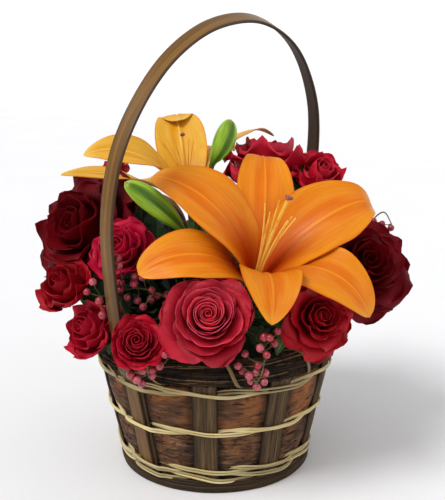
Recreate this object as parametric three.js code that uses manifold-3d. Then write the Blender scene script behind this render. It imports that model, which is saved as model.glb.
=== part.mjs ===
// A woven bark basket with a hoop handle, filled with foam and an arrangement of lilies, roses and
// pepperberries. Millimetres, +Z up. The origin is on the basket's axis, at the floor, and the side
// shown first looks towards -Y. Angles round the basket are counted from -Y towards -X.

import * as THREE from 'three';
import { mergeVertices } from 'three/addons/utils/BufferGeometryUtils.js';
import Module from 'manifold-3d';

const wasm = await Module();
wasm.setup();

const TAU = 2 * Math.PI;
const UP = new THREE.Vector3(0, 0, 1);
const vec = (x, y, z) => new THREE.Vector3(x, y, z);
const lerp = THREE.MathUtils.lerp;
const radians = THREE.MathUtils.degToRad;

// ---------- Driving dimensions ----------

const CLEARANCE = 0.3; // between two pieces that touch

// The wall is a cone: its outermost surface, over the twining, is at this radius at height z.
const WALL_FOOT_RADIUS = 76;
const WALL_SLOPE = 0.2144;
const wallRadius = (z) => WALL_FOOT_RADIUS + WALL_SLOPE * z;

const BOARD = { radius: 69.2, thickness: 4 };
const FOOT = { inner: 69.5, outer: 78.6, height: 9.3 };
const FOOT_SIDES = 32;
const WALL_BOTTOM = FOOT.height + CLEARANCE;

const STAKE = { count: 10, first: 4.5, width: 18, thick: 2.2, ridges: 3, ridge: 0.45, top: 94.6 };
const REED = { depth: 2.2, tall: 4.2, offset: 1.1, chordSag: 0.2 };
const WALES = [
  { name: 'wale_bottom', z: 15.9, tall: 5.4, offset: 2.6 },
  { name: 'wale_middle', z: 53.3, tall: REED.tall, offset: REED.offset },
  { name: 'wale_top', z: 87.3, tall: REED.tall, offset: REED.offset },
];
// From the wall's surface inwards: front reed, stake, back reed, bark. WEAVE is how far a reed's
// centre lies from the stakes' centre where it passes one.
const STAKE_DEPTH = REED.depth / 2 + CLEARANCE + STAKE.thick / 2;
const WEAVE = STAKE_DEPTH + REED.chordSag;
const BARK_DEPTH = STAKE_DEPTH + WEAVE + REED.depth / 2 + REED.chordSag + CLEARANCE;
const BARK = { thick: 2, seam: 52.1, top: 89, sides: 30 };
// One turn of a reed past two stakes, in degrees from the first: in front of it, between, behind the
// second, between.
const REED_KNOTS = [-7, 0, 7, 18, 29, 36, 43, 54];
const REED_SIDES = [1, 1, 1, 0, -1, -1, -1, 0];
const PERIODS = STAKE.count / 2;

const BORDER = { radius: 92.6, z: 104, halfWidth: 6.4, halfHeight: 9.4, sides: 7, steps: 30, dent: 0.5 };
const LASHING = { turns: 10, width: 3.6, thick: 1.2, stepsPerTurn: 7, sag: 1.1 };

// The handle stands at an angle round the basket, in front of two opposite stakes. Above archFoot the
// strap is twisted: by twist at the top, and by skew towards one leg and away from the other.
const HANDLE = { angle: 40.5, width: 13, thick: 2.6, steps: 50, stakes: [1, 6] };
const HANDLE_TWIST = { archFoot: 150, twist: 16, skew: 9.5 };

const LINER = { inset: 14.4, thick: 1.2, top: 100 };
const POT_SIDES = 20; // liner and foam
// The foam's top is a dome: top at the axis, less drop times the radius squared, out to the shoulder.
const FOAM = { top: 114, drop: 0.0022, edgeBelowLiner: 2, domeRadii: [70, 48, 24, 0] };

// A stem stands depth deep in the foam, in a hole with play round it, and is straight up to rise above.
const STEM = { depth: 30, play: 0.8, rise: 9, sides: 3, steps: 7, shortestRun: 20, bendShare: 0.4 };
const ROSE_STEM = { thick: 2.6, thin: 1.9, thickFrom: 26, reach: 18 }; // thickFrom: the bloom's radius
const LILY_STEM = { thick: 2.8, stalk: 1.8, stalkSteps: 4, reach: 24, leafArch: 5 };
const LEAF = { thick: 0.9, arch: 4, rib: 0.5, fold: 0.25 };
const PETAL_THICKNESS = 0.9;
const TEPAL_THICKNESS = 1.0;
const TWIG = { radius: 1, hole: 1.2, sides: 3, steps: 10, stalk: 0.75, berriesFrom: 0.62 };
const BERRY = { radius: 3.3, apart: 0.6, nearest: 0.45, overEdge: 20, outside: 106 };

// ---------- Materials ----------

const finish = (color, roughness) => new THREE.MeshStandardMaterial({ color, roughness, metalness: 0 });

const DRIFTWOOD = finish('#6b5636', 0.8);
const FOOT_WOOD = finish('#4a3a22', 0.85);
const BARK_ROUGH = finish('#6e4426', 0.9);
const BARK_SMOOTH = finish('#8a5a30', 0.75);
const STRAW = finish('#c9b978', 0.6);
const TWIGS = finish('#3a2a1e', 0.9);
const CANE = finish('#7c6040', 0.55);
const PLASTIC = finish('#2c2a26', 0.5);
const FLORAL_FOAM = finish('#2f4a2c', 0.95);
const LEAF_GREEN = finish('#3f6b2a', 0.6);
const LILY_ORANGE = finish('#e8820e', 0.5);
const LILY_GOLD = finish('#e9a32a', 0.5);
const FILAMENT = finish('#f2a22c', 0.5);
const PINK_RED = finish('#b8143a', 0.6);
const RED = finish('#b00a28', 0.6);
const BURGUNDY = finish('#55070f', 0.7);
const HOT_PINK = finish('#c01048', 0.6);
const BERRY_PINK = finish('#a84a50', 0.5);

// ---------- Solids ----------

/** Turns a closed geometry into a solid whose faces point outwards. */
function toSolid(geometry) {
  const bare = geometry.clone();
  bare.deleteAttribute('normal');
  bare.deleteAttribute('uv');
  const merged = mergeVertices(bare, 1e-4);
  const points = Float32Array.from(merged.attributes.position.array);
  const faces = [];
  let volume = 0;
  for (let i = 0; i < merged.index.count; i += 3) {
    const face = [0, 1, 2].map((k) => merged.index.getX(i + k));
    if (new Set(face).size < 3) continue;
    const [a, b, c] = face.map((k) => new THREE.Vector3().fromArray(points, 3 * k));
    volume += a.dot(b.cross(c));
    faces.push(face);
  }
  const outward = volume < 0 ? faces.map(([a, b, c]) => [a, c, b]) : faces;
  const triVerts = Uint32Array.from(outward.flat());
  return new wasm.Manifold(new wasm.Mesh({ numProp: 3, vertProperties: points, triVerts }));
}

/** Turns a solid back into a geometry, with flat faces. */
function toGeometry(solid) {
  const mesh = solid.getMesh();
  const indexed = new THREE.BufferGeometry();
  indexed.setAttribute('position', new THREE.BufferAttribute(mesh.vertProperties, mesh.numProp));
  indexed.setIndex(new THREE.BufferAttribute(mesh.triVerts, 1));
  const flat = indexed.toNonIndexed();
  flat.computeVertexNormals();
  return flat;
}

/** Joins solids into one. */
const fuse = (solids) => solids.reduce((whole, next) => whole.add(next));

/** Keeps the largest body of a solid and drops loose scraps. */
function largest(solid) {
  const bodies = solid.decompose();
  return bodies.reduce((best, body) => (body.volume() > best.volume() ? body : best));
}

// ---------- Shapes ----------

/** A closed ring: position(turn, side) gives each point, both arguments running from 0 to 1. */
function ring(sides, steps, position) {
  const geometry = new THREE.TorusGeometry(2, 1, sides, steps);
  const points = geometry.attributes.position;
  for (let side = 0; side <= sides; side++) {
    for (let step = 0; step <= steps; step++) {
      const point = position((step % steps) / steps, (side % sides) / sides);
      points.setXYZ(side * (steps + 1) + step, point.x, point.y, point.z);
    }
  }
  return toSolid(geometry);
}

/** A point of the basket, by its angle round the axis, its radius and its height. */
function around(degrees, radius, z) {
  const angle = radians(degrees);
  return vec(-radius * Math.sin(angle), -radius * Math.cos(angle), z);
}

/** A turned solid from a profile of [radius, height] points that starts and ends on the axis or closes. */
function turned(profile, sides) {
  const points = profile.map(([radius, z]) => new THREE.Vector2(radius, z));
  return toSolid(new THREE.LatheGeometry(points, sides).rotateX(Math.PI / 2));
}

/** A closed profile, as LatheGeometry wants it. */
const closed = (profile) => [...profile, profile[0]];

/** A regular polygon as a shape to extrude. */
function polygon(radius, sides) {
  const corners = [];
  for (let i = 0; i < sides; i++) {
    const angle = (TAU * (i + 0.5)) / sides;
    corners.push(new THREE.Vector2(radius * Math.cos(angle), radius * Math.sin(angle)));
  }
  return new THREE.Shape(corners);
}

/** A rod of even thickness along a curve. */
function rod(curve, radius, sides, steps) {
  const options = { steps, extrudePath: curve, bevelEnabled: false };
  return toSolid(new THREE.ExtrudeGeometry(polygon(radius, sides), options));
}

/** A pointed rod from its thick end to its tip. */
function spike(from, to, radius, sides) {
  const axis = to.clone().sub(from);
  const cone = new THREE.ConeGeometry(radius, axis.length(), sides);
  cone.rotateX(Math.PI / 2).translate(0, 0, axis.length() / 2);
  cone.applyQuaternion(new THREE.Quaternion().setFromUnitVectors(UP, axis.clone().normalize()));
  return toSolid(cone.translate(from.x, from.y, from.z));
}

/** A blade: the sheet surface(x, t), x from -1 to 1 across and t from 0 to 1 along, made thick. */
function blade(surface, columns, rows, thickness) {
  const sheet = new THREE.PlaneGeometry(2, 1, columns, rows);
  const points = sheet.attributes.position;
  const count = points.count;
  for (let i = 0; i < count; i++) {
    const along = THREE.MathUtils.clamp(points.getY(i) + 0.5, 0, 1);
    const point = surface(points.getX(i), along);
    points.setXYZ(i, point.x, point.y, point.z);
  }
  sheet.computeVertexNormals();
  const both = [];
  for (const side of [0.5, -0.5]) {
    for (let i = 0; i < count; i++) {
      const normal = new THREE.Vector3().fromBufferAttribute(sheet.attributes.normal, i);
      const point = new THREE.Vector3().fromBufferAttribute(points, i);
      both.push(...point.addScaledVector(normal, side * thickness).toArray());
    }
  }
  const faces = [];
  for (let i = 0; i < sheet.index.count; i += 3) {
    const [a, b, c] = [0, 1, 2].map((k) => sheet.index.getX(i + k));
    faces.push(a, b, c, count + a, count + c, count + b);
  }
  const edge = rim(columns, rows);
  edge.forEach((from, i) => {
    const to = edge[(i + 1) % edge.length];
    faces.push(to, from, count + from, to, count + from, count + to);
  });
  const solid = new THREE.BufferGeometry();
  solid.setAttribute('position', new THREE.Float32BufferAttribute(both, 3));
  solid.setIndex(faces);
  return toSolid(solid);
}

/** The corner numbers round a sheet of columns by rows cells, in order. */
function rim(columns, rows) {
  const at = (column, row) => row * (columns + 1) + column;
  const loop = [];
  for (let row = 0; row < rows; row++) loop.push(at(0, row));
  for (let column = 0; column < columns; column++) loop.push(at(column, rows));
  for (let row = rows; row > 0; row--) loop.push(at(columns, row));
  for (let column = columns; column > 0; column--) loop.push(at(column, 0));
  return loop;
}

/** Places a solid made round +Z so that +Z faces the given way at the given point. */
function place(solid, point, facing) {
  const turn = new THREE.Quaternion().setFromUnitVectors(UP, facing);
  const matrix = new THREE.Matrix4().compose(point, turn, vec(1, 1, 1));
  return solid.transform(matrix.elements);
}

/** A repeatable draw of numbers from 0 to 1. */
function seeded(seed) {
  let state = seed;
  return () => {
    state = (state * 16807) % 2147483647;
    return state / 2147483647;
  };
}

// ---------- Basket ----------

function baseBoard() {
  const { radius, thickness } = BOARD;
  return turned([[0, 0], [radius, 0], [radius, thickness], [0, thickness]], FOOT_SIDES);
}

function footRing() {
  const { inner, outer, height } = FOOT;
  const profile = [
    [inner, 0],
    [outer - 1.6, 0],
    [outer, height * 0.45],
    [outer - 1.6, height],
    [inner, height],
  ];
  return turned(closed(profile), FOOT_SIDES);
}

/** A flat bundle of reeds, following the wall upwards at one angle. */
function stake(number) {
  const radius = WALL_FOOT_RADIUS - STAKE_DEPTH;
  const halfAngle = STAKE.width / 2 / radius;
  const inner = radius - STAKE.thick / 2;
  const outer = radius + STAKE.thick / 2;
  const points = [];
  const steps = 2 * STAKE.ridges;
  for (let i = 0; i <= steps; i++) {
    const angle = lerp(-halfAngle, halfAngle, i / steps);
    const reach = i % 2 ? outer : outer - STAKE.ridge;
    points.push(new THREE.Vector2(reach * Math.sin(angle), -reach * Math.cos(angle)));
  }
  for (const share of [1, 0, -1]) {
    const angle = halfAngle * share;
    points.push(new THREE.Vector2(inner * Math.sin(angle), -inner * Math.cos(angle)));
  }
  const depth = STAKE.top - WALL_BOTTOM;
  const post = new THREE.ExtrudeGeometry(new THREE.Shape(points), { depth, bevelEnabled: false });
  post.translate(0, 0, WALL_BOTTOM);
  post.applyMatrix4(new THREE.Matrix4().makeShear(0, 0, 0, 0, 0, -WALL_SLOPE));
  post.rotateZ(-radians(STAKE.first + (360 / STAKE.count) * number));
  return toSolid(post);
}

/** One bark sheet bent round the wall, between two heights. */
function barkBand(from, to) {
  const outer = (z) => wallRadius(z) - BARK_DEPTH;
  const profile = [
    [outer(from), from],
    [outer(to), to],
    [outer(to) - BARK.thick, to],
    [outer(from) - BARK.thick, from],
  ];
  return turned(closed(profile), BARK.sides);
}

/** One reed woven round the stakes, in front of every other one; phase is 1 or -1. */
function reed(z, tall, phase) {
  const perPeriod = REED_KNOTS.length;
  return ring(3, PERIODS * perPeriod, (turn, side) => {
    const step = Math.round(turn * PERIODS * perPeriod);
    const knot = step % perPeriod;
    const degrees = STAKE.first + (360 / PERIODS) * Math.floor(step / perPeriod) + REED_KNOTS[knot];
    const inFront = REED_SIDES[knot] * phase;
    const [out, dz] = halfRound(side, REED.depth, tall);
    const bump = inFront > 0 && besideHandle(degrees) ? HANDLE.thick + CLEARANCE : 0;
    const centre = wallRadius(z + dz) - STAKE_DEPTH + inFront * WEAVE;
    return around(degrees, centre + out + bump, z + dz);
  });
}

/** The three corners of a strip that is flat inside and ridged outside: [out, up]. */
function halfRound(side, depth, tall) {
  const corner = Math.round(side * 3);
  return [[depth / 2, 0], [-depth / 2, tall / 2], [-depth / 2, -tall / 2]][corner];
}

/** Whether an angle lies on one of the two stakes that carry the handle's legs. */
function besideHandle(degrees) {
  const spacing = 360 / STAKE.count;
  return HANDLE.stakes.some((number) => Math.abs(degrees - STAKE.first - spacing * number) < spacing / 4);
}

function wale({ z, tall, offset }) {
  return fuse([reed(z + offset, tall, 1), reed(z - offset, tall, -1)]);
}

/** A point on an ellipse round the border's centre line, grown by some millimetres. */
function borderPoint(degrees, roll, grow) {
  const radius = BORDER.radius + (BORDER.halfWidth + grow) * Math.cos(roll);
  return around(degrees, radius, BORDER.z + (BORDER.halfHeight + grow) * Math.sin(roll));
}

/** The rolled bundle of twigs that finishes the basket's edge. */
function borderRoll() {
  const draw = seeded(7);
  const dents = Array.from({ length: BORDER.steps * BORDER.sides }, () => -BORDER.dent * draw());
  return ring(BORDER.sides, BORDER.steps, (turn, side) => {
    const dent = dents[Math.round(turn * BORDER.steps) * BORDER.sides + Math.round(side * BORDER.sides)];
    return borderPoint(360 * turn, TAU * side, dent);
  });
}

/** A flat strip wound round the border, passing between the stakes. */
function borderLashing() {
  const steps = LASHING.turns * LASHING.stepsPerTurn;
  const firstGap = STAKE.first + 180 / STAKE.count;
  return ring(3, steps, (turn, side) => {
    const [out, across] = halfRound(side, LASHING.thick, LASHING.width);
    const degrees = 360 * turn + firstGap + THREE.MathUtils.radToDeg(across / BORDER.radius);
    const roll = TAU * (LASHING.turns * turn - 0.25);
    return borderPoint(degrees, roll, CLEARANCE + LASHING.sag + LASHING.thick / 2 + out);
  });
}

/** The hoop handle's centre line, in its own upright plane: legs outside the wall, a round arch on top. */
function handleCurve() {
  const beside = HANDLE.thick / 2 + CLEARANCE + STAKE.thick / 2 - STAKE_DEPTH;
  const leg = (z) => [wallRadius(z) + beside, z];
  const right = [leg(WALL_BOTTOM), leg(32), leg(54), leg(74), leg(86), leg(91)];
  const out = [[98.1, 95], [100.2, 98], [101.6, 102], [102.4, 107]];
  const arch = [[108, 130], [114, 178], [114.5, 216], [105, 257], [83, 294], [48, 328], [0, 351]];
  const back = [[-55, 354], [-103, 329], [-131, 281], [-132, 228], [-119, 181], [-108, 140]];
  const mirror = ([s, z]) => [-s, z];
  const whole = [...right, ...out, ...arch, ...back];
  whole.push(...out.map(mirror).reverse(), ...right.map(mirror).reverse());
  return new THREE.CatmullRomCurve3(whole.map(([s, z]) => vec(s, 0, z)), false, 'centripetal');
}

/** Turns a point of the handle's own plane to where the handle stands. */
const onHandle = (point) => point.applyAxisAngle(UP, -Math.PI / 2 - radians(HANDLE.angle));

/** How far the strap is twisted round its centre line, at a height z and a distance s from the axis. */
function handleTwist(s, z) {
  const round = Math.atan2(Math.max(0, z - HANDLE_TWIST.archFoot), s);
  return radians(HANDLE_TWIST.twist * Math.sin(round) ** 2 - HANDLE_TWIST.skew * Math.sin(2 * round));
}

/** The hoop: one strap of cane along the centre line, a little twisted over the arch. */
function handleHoop() {
  const curve = handleCurve();
  const strap = (x, t) => {
    const point = curve.getPoint(t);
    const tangent = curve.getTangent(t);
    const twist = handleTwist(point.x, point.z);
    const across = vec(-tangent.z * Math.sin(twist), Math.cos(twist), tangent.x * Math.sin(twist));
    return onHandle(point.addScaledVector(across, (x * HANDLE.width) / 2));
  };
  return blade(strap, 1, HANDLE.steps, HANDLE.thick);
}

function linerDish() {
  const outer = (z) => wallRadius(z) - LINER.inset;
  const floor = BOARD.thickness + CLEARANCE;
  const { thick, top } = LINER;
  const profile = [
    [0, floor],
    [outer(floor), floor],
    [outer(top), top],
    [outer(top) - thick, top],
    [outer(floor) - thick, floor + thick],
    [0, floor + thick],
  ];
  return turned(profile, POT_SIDES);
}

const foamTop = (radius) => FOAM.top - FOAM.drop * radius * radius;

/** The wet foam that fills the liner and holds the stems. */
function foamBlock(holes) {
  const floor = BOARD.thickness + 2 * CLEARANCE + LINER.thick;
  const wide = (z) => wallRadius(z) - LINER.inset - LINER.thick - CLEARANCE;
  const edge = LINER.top - FOAM.edgeBelowLiner;
  const dome = FOAM.domeRadii.map((radius) => [radius, foamTop(radius)]);
  const profile = [[0, floor], [wide(floor), floor], [wide(edge), edge], ...dome];
  return holes.reduce((block, hole) => block.subtract(hole), turned(profile, POT_SIDES));
}

// ---------- Stems ----------

const stemHoles = [];

/** A stem's centre line: it leaves a flower, bends down and stands in its own hole in the foam. */
function stemPath(start, facing, [x, y], reach) {
  const surface = foamTop(Math.hypot(x, y));
  const top = vec(x, y, surface + STEM.rise);
  const leave = start.clone().addScaledVector(facing, -reach);
  const arrive = vec(x, y, lerp(top.z, Math.max(start.z, top.z + STEM.shortestRun), STEM.bendShare));
  const path = new THREE.CurvePath();
  path.add(new THREE.CubicBezierCurve3(start, leave, arrive, top));
  path.add(new THREE.LineCurve3(top, vec(x, y, surface - STEM.depth)));
  return path;
}

/** Notes the square hole that a stem of this radius stands in. */
function drill([x, y], radius) {
  const surface = foamTop(Math.hypot(x, y));
  const bottom = vec(x, y, surface - STEM.depth - CLEARANCE);
  const axis = new THREE.LineCurve3(bottom, vec(x, y, surface + STEM.rise));
  stemHoles.push(rod(axis, (radius + STEM.play) * Math.SQRT2, 4, 1));
}

/** A leaf: a pointed oval blade, arched along its length and folded a little at its rib. */
function leaf(base, tip, width, arch = LEAF.arch) {
  const along = tip.clone().sub(base);
  const side = new THREE.Vector3().crossVectors(along, UP).normalize();
  const lift = new THREE.Vector3().crossVectors(side, along).normalize();
  const surface = (x, t) => {
    const half = LEAF.rib + (width / 2) * Math.sin(Math.PI * lerp(0.03, 0.97, t)) ** 0.8;
    const rise = arch * Math.sin(Math.PI * t) + LEAF.fold * half * Math.abs(x);
    return base.clone().addScaledVector(along, t).addScaledVector(side, x * half).addScaledVector(lift, rise);
  };
  return blade(surface, 2, 3, LEAF.thick);
}

// ---------- Roses ----------

// Each whorl of petals, in shares of the bloom's radius: how many, how wide in degrees, where they
// leave the core, how far they reach out and up, and how much the lip rolls back.
const whorl = (petals, span, root, low, reach, rise, lip) => ({ petals, span, root, low, reach, rise, lip });
const MIDDLE_WHORL = whorl(3, 128, 0.3, -0.26, 0.74, 0.42, 0.02);
const OUTER_WHORL = whorl(5, 80, 0.26, -0.42, 1, 0.3, 0.2);
const TIGHT_WHORL = whorl(4, 99, 0.28, -0.36, 0.9, 0.42, 0.1);
const CUP_WHORL = whorl(5, 80, 0.26, -0.42, 0.84, 0.8, 0.1);
const SMALL_ROSE = [TIGHT_WHORL];
const OPEN_ROSE = [OUTER_WHORL];
const CUPPED_ROSE = [CUP_WHORL];
const FULL_ROSE = [MIDDLE_WHORL, OUTER_WHORL];

// The bloom's heart: its profile, and how far each of its three wrapped petals steps out over the next.
const HEART_PROFILE = [[0, -0.52], [0.32, -0.46], [0.4, -0.1], [0.37, 0.4], [0, 0.24]];
const HEART = { profile: HEART_PROFILE, petals: 3, step: 0.2 };
const PETAL = { rounding: 0.16, overlap: 0.115, columns: 2, rows: 2, footSpread: 0.6 };

/** One petal, cupped round the bloom's axis and rolled back at its lip. */
function rosePetal({ span, root, low, reach, rise, lip }, turn, size) {
  const surface = (x, t) => {
    const spread = lerp(PETAL.footSpread, 1, Math.sin((Math.PI / 2) * Math.min(1, t * 1.4)));
    const angle = turn + radians(span / 2) * x * spread;
    const radius = lerp(root, reach, t ** 0.8) + PETAL.overlap * x * Math.sqrt(t);
    const lift = lerp(low, rise, t ** 1.2) - lip * t ** 6 - PETAL.rounding * x * x * t;
    return vec(radius * Math.cos(angle), radius * Math.sin(angle), lift).multiplyScalar(size);
  };
  return blade(surface, PETAL.columns, PETAL.rows, PETAL_THICKNESS);
}

/** The furled heart of a bloom: petals wrapped round each other, each stepping out over the next. */
function roseHeart(radius, first) {
  const { profile, petals, step } = HEART;
  const perPetal = 3;
  const sides = petals * perPetal;
  const points = profile.map(([r, z]) => new THREE.Vector2(r, z));
  const heart = new THREE.LatheGeometry(points, sides).rotateX(Math.PI / 2).rotateZ(first);
  const corners = heart.attributes.position;
  for (let i = 0; i < corners.count; i++) {
    const level = i % profile.length;
    const side = Math.floor(i / profile.length) % sides;
    const share = (side % perPetal) / (perPetal - 1);
    const grow = radius * (1 + (level > 1 ? step * (share - 0.5) : 0));
    corners.setXYZ(i, corners.getX(i) * grow, corners.getY(i) * grow, corners.getZ(i) * radius);
  }
  return toSolid(heart);
}

/** The bloom: a furled heart with whorls of petals sunk into it. */
function roseBloom({ centre, radius, facing, whorls, seed }) {
  const draw = seeded(seed);
  const petals = [roseHeart(radius, TAU * draw())];
  for (const one of whorls) {
    const first = TAU * draw();
    for (let i = 0; i < one.petals; i++) {
      const turn = first + (TAU * (i + 0.04 * (draw() - 0.5))) / one.petals;
      petals.push(rosePetal(one, turn, radius * (0.99 + 0.02 * draw())));
    }
  }
  return place(largest(fuse(petals)), centre, facing);
}

/** The receptacle and its five pointed sepals, under a bloom whose base is at height top. */
function calyx(top, thick, reach) {
  const points = [[0, top - 2.6 * thick], [1.5 * thick, top - 1.6 * thick], [2, top - 0.8 * thick], [0, top]];
  const star = new THREE.LatheGeometry(points.map(([r, z]) => new THREE.Vector2(r, z)), 10);
  star.rotateX(Math.PI / 2);
  const corners = star.attributes.position;
  for (let i = 0; i < corners.count; i++) {
    const level = i % points.length;
    const isTip = Math.floor(i / points.length) % 2 === 0;
    if (level !== 2) continue;
    const grow = (isTip ? reach : 1.2 * thick) / 2;
    corners.setXY(i, corners.getX(i) * grow, corners.getY(i) * grow);
    if (isTip) corners.setZ(i, corners.getZ(i) - reach * 0.2);
  }
  return toSolid(star);
}

/** The green below a bloom: receptacle, five sepals, the stem and its leaves. */
function roseStem({ centre, radius, facing, hole, leaves }) {
  const neck = radius * HEART.profile[0][1] - CLEARANCE;
  const thick = radius > ROSE_STEM.thickFrom ? ROSE_STEM.thick : ROSE_STEM.thin;
  const start = centre.clone().addScaledVector(facing, neck - 1.2 * thick);
  const path = stemPath(start, facing, hole, ROSE_STEM.reach);
  drill(hole, thick);
  const star = place(calyx(neck, thick, radius / 2), centre, facing);
  const parts = [star, rod(path, thick, STEM.sides, STEM.steps)];
  const joints = path.getSpacedPoints(STEM.steps);
  for (const { at, tip, width } of leaves) parts.push(leaf(joints[at], vec(...tip), width));
  return largest(fuse(parts));
}

const rose = (name, centre, radius, facing, whorls, material, hole, leaves = []) => ({
  name, centre: vec(...centre), radius, facing: vec(...facing).normalize(), whorls, material, hole, leaves,
});

const leafOn = (at, tip, width) => ({ at, tip, width });

const ROSES = [
  rose('rose_centre', [-4, -108, 152], 32, [0, -0.82, 0.57], FULL_ROSE, PINK_RED, [-2, -54]),
  rose('rose_front_right', [75, -85, 141.5], 27, [0.35, -0.8, 0.45], OPEN_ROSE, RED, [42, -46],
    [leafOn(1, [44, -97, 122], 14)]),
  rose('rose_front_left', [-54, -103, 131], 20.5, [0, -0.78, 0.62], SMALL_ROSE, PINK_RED, [-31, -53]),
  rose('rose_left_centre', [-69, -58, 188], 25, [-0.3, -0.7, 0.65], OPEN_ROSE, HOT_PINK, [-33, -28]),
  rose('rose_left', [-117, -43, 154], 23, [-0.65, -0.55, 0.5], SMALL_ROSE, RED, [-60, -16]),
  rose('rose_lower_left', [-97, -65, 128], 21.5, [-0.75, -0.6, 0.2], SMALL_ROSE, RED, [-53, -36]),
  rose('rose_large_left', [-103, -1, 199], 46, [-0.6, -0.6, 0.55], FULL_ROSE, BURGUNDY, [-47, 2],
    [leafOn(1, [-130, -22, 136], 17)]),
  rose('rose_large_right', [125, 0, 159], 44, [0.5, -0.8, 0.3], FULL_ROSE, BURGUNDY, [62, -6]),
  rose('rose_back_top', [43, 55, 228], 31, [0.05, 0.2, 0.97], CUPPED_ROSE, RED, [20, 30],
    [leafOn(2, [62, 70, 190], 17)]),
  rose('rose_back_right', [86, 38, 227], 22.5, [0.35, -0.6, 0.7], SMALL_ROSE, RED, [44, 21],
    [leafOn(2, [66, 10, 200], 15)]),
  rose('rose_back_left', [-88, 60, 226], 17, [-0.4, 0.3, 0.85], SMALL_ROSE, HOT_PINK, [-42, 34]),
  rose('rose_rear_left', [-78, 82, 164], 32, [-0.55, 0.7, 0.45], OPEN_ROSE, RED, [-36, 50],
    [leafOn(2, [-112, 56, 140], 18)]),
  rose('rose_rear_centre', [8, 108, 166], 33, [0.05, 0.85, 0.5], OPEN_ROSE, PINK_RED, [4, 56],
    [leafOn(2, [-30, 116, 140], 18)]),
  rose('rose_rear_right', [102, 66, 158], 27, [0.6, 0.6, 0.45], OPEN_ROSE, RED, [50, 40],
    [leafOn(2, [112, 92, 112], 16)]),
];

// ---------- Lilies ----------

const TEPAL = { start: 4.2, outerStart: 6.6, bend: 1.3, rootWidth: 2.4, tipWidth: 1.2, rows: 5 };
const LILY_HEART = [[0, -5], [5, -3.5], [8.8, 1.2], [0, 2]];
const FILAMENTS = { count: 6, first: 0.05, radius: 0.9, spread: 7, uneven: 2 };
const PISTIL = { radius: 1.4, reach: 1.18, stigma: 2.2 };
const inner = (azimuth, bend, length, width) => ({ azimuth, bend, length, width, outer: false });
const outer = (azimuth, bend, length, width) => ({ azimuth, bend, length, width, outer: true });

// Each tepal is given by its azimuth round the flower, its lean at the tip, its length and its width.
// opening is every tepal's lean at its foot, and gather is where the filaments' tips come together.
const LILIES = [
  {
    name: 'lily_front',
    material: LILY_ORANGE,
    centre: vec(31, -50, 160),
    facing: vec(0.2, -0.35, 0.91).normalize(),
    opening: 22,
    columns: 4,
    gather: vec(10, 0, 65),
    hole: [20, -22],
    tepals: [
      inner(160, 114, 121, 54),
      outer(96, 99, 108, 46),
      inner(25, 106, 117, 52),
      outer(-161, 158, 118, 42),
      inner(-87, 139, 90, 46),
      outer(-30, 147, 108, 42),
    ],
  },
  {
    name: 'lily_back',
    material: LILY_GOLD,
    centre: vec(-22, 38, 208),
    facing: vec(-0.1, 0.12, 0.98).normalize(),
    opening: 25,
    columns: 2,
    gather: vec(-16, -4, 50),
    hole: [-14, 18],
    tepals: [
      inner(-171, 107, 96, 36),
      outer(-148, 132, 118, 28),
      outer(19, 97, 98, 34),
      inner(96, 58, 78, 44),
      outer(58, 118, 90, 34),
      outer(134, 122, 90, 32),
    ],
  },
];

/** A tepal: a long blade that leaves the throat upright and bends outwards along its length. */
function lilyTepal({ azimuth, bend, length, width, outer: isOuter }, opening, columns) {
  const turn = radians(azimuth);
  const radial = vec(Math.cos(turn), Math.sin(turn), 0);
  const side = vec(-Math.sin(turn), Math.cos(turn), 0);
  const lean = (t) => radians(lerp(opening, bend, t ** TEPAL.bend));
  const spine = (t) => {
    const point = radial.clone().multiplyScalar(isOuter ? TEPAL.outerStart : TEPAL.start);
    const pieces = 24;
    for (let i = 0; i < pieces; i++) {
      const angle = lean((t * (i + 0.5)) / pieces);
      const step = (length * t) / pieces;
      point.addScaledVector(radial, step * Math.sin(angle)).addScaledVector(UP, step * Math.cos(angle));
    }
    return point;
  };
  const surface = (x, t) => {
    const belly = Math.max(0, Math.sin(Math.PI * t ** 0.95)) ** 1.35;
    const half = lerp(TEPAL.rootWidth, TEPAL.tipWidth, t) + (width / 2 - 2) * belly;
    const inward = radial.clone().multiplyScalar(-Math.cos(lean(t))).addScaledVector(UP, Math.sin(lean(t)));
    const channel = (isOuter ? 0.08 : lerp(0.3, 0.12, t)) * half * Math.abs(x) ** 1.5;
    return spine(t).addScaledVector(side, x * half).addScaledVector(inward, channel);
  };
  return blade(surface, columns, TEPAL.rows, TEPAL_THICKNESS);
}

function lilyTepals({ centre, facing, opening, columns, tepals }) {
  const heart = turned(LILY_HEART, 8);
  const blades = tepals.map((one) => lilyTepal(one, opening, columns));
  return place(largest(fuse([heart, ...blades])), centre, facing);
}

/** Six filaments and the longer pistil, standing in the throat. */
function lilyStamens({ centre, facing, gather }) {
  const floor = LILY_HEART.at(-1)[1] + CLEARANCE;
  const solids = [turned([[0, floor], [2.4, floor], [2, floor + 2], [0, floor + 2.2]], 6)];
  for (let i = 0; i < FILAMENTS.count; i++) {
    const angle = TAU * (i / FILAMENTS.count + FILAMENTS.first);
    const out = vec(Math.cos(angle), Math.sin(angle), 0);
    const tip = out.clone().multiplyScalar(FILAMENTS.spread).add(gather);
    tip.z = gather.z + (i % 2 ? FILAMENTS.uneven : -FILAMENTS.uneven);
    solids.push(spike(out.setZ(floor + 0.8), tip, FILAMENTS.radius, 3));
  }
  const end = gather.clone().multiplyScalar(PISTIL.reach);
  const stigma = new THREE.OctahedronGeometry(PISTIL.stigma).translate(...end.toArray());
  solids.push(toSolid(stigma), spike(vec(0, 0, floor + 0.6), end.setZ(end.z + 2), PISTIL.radius, 4));
  return place(largest(fuse(solids)), centre, facing);
}

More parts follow.
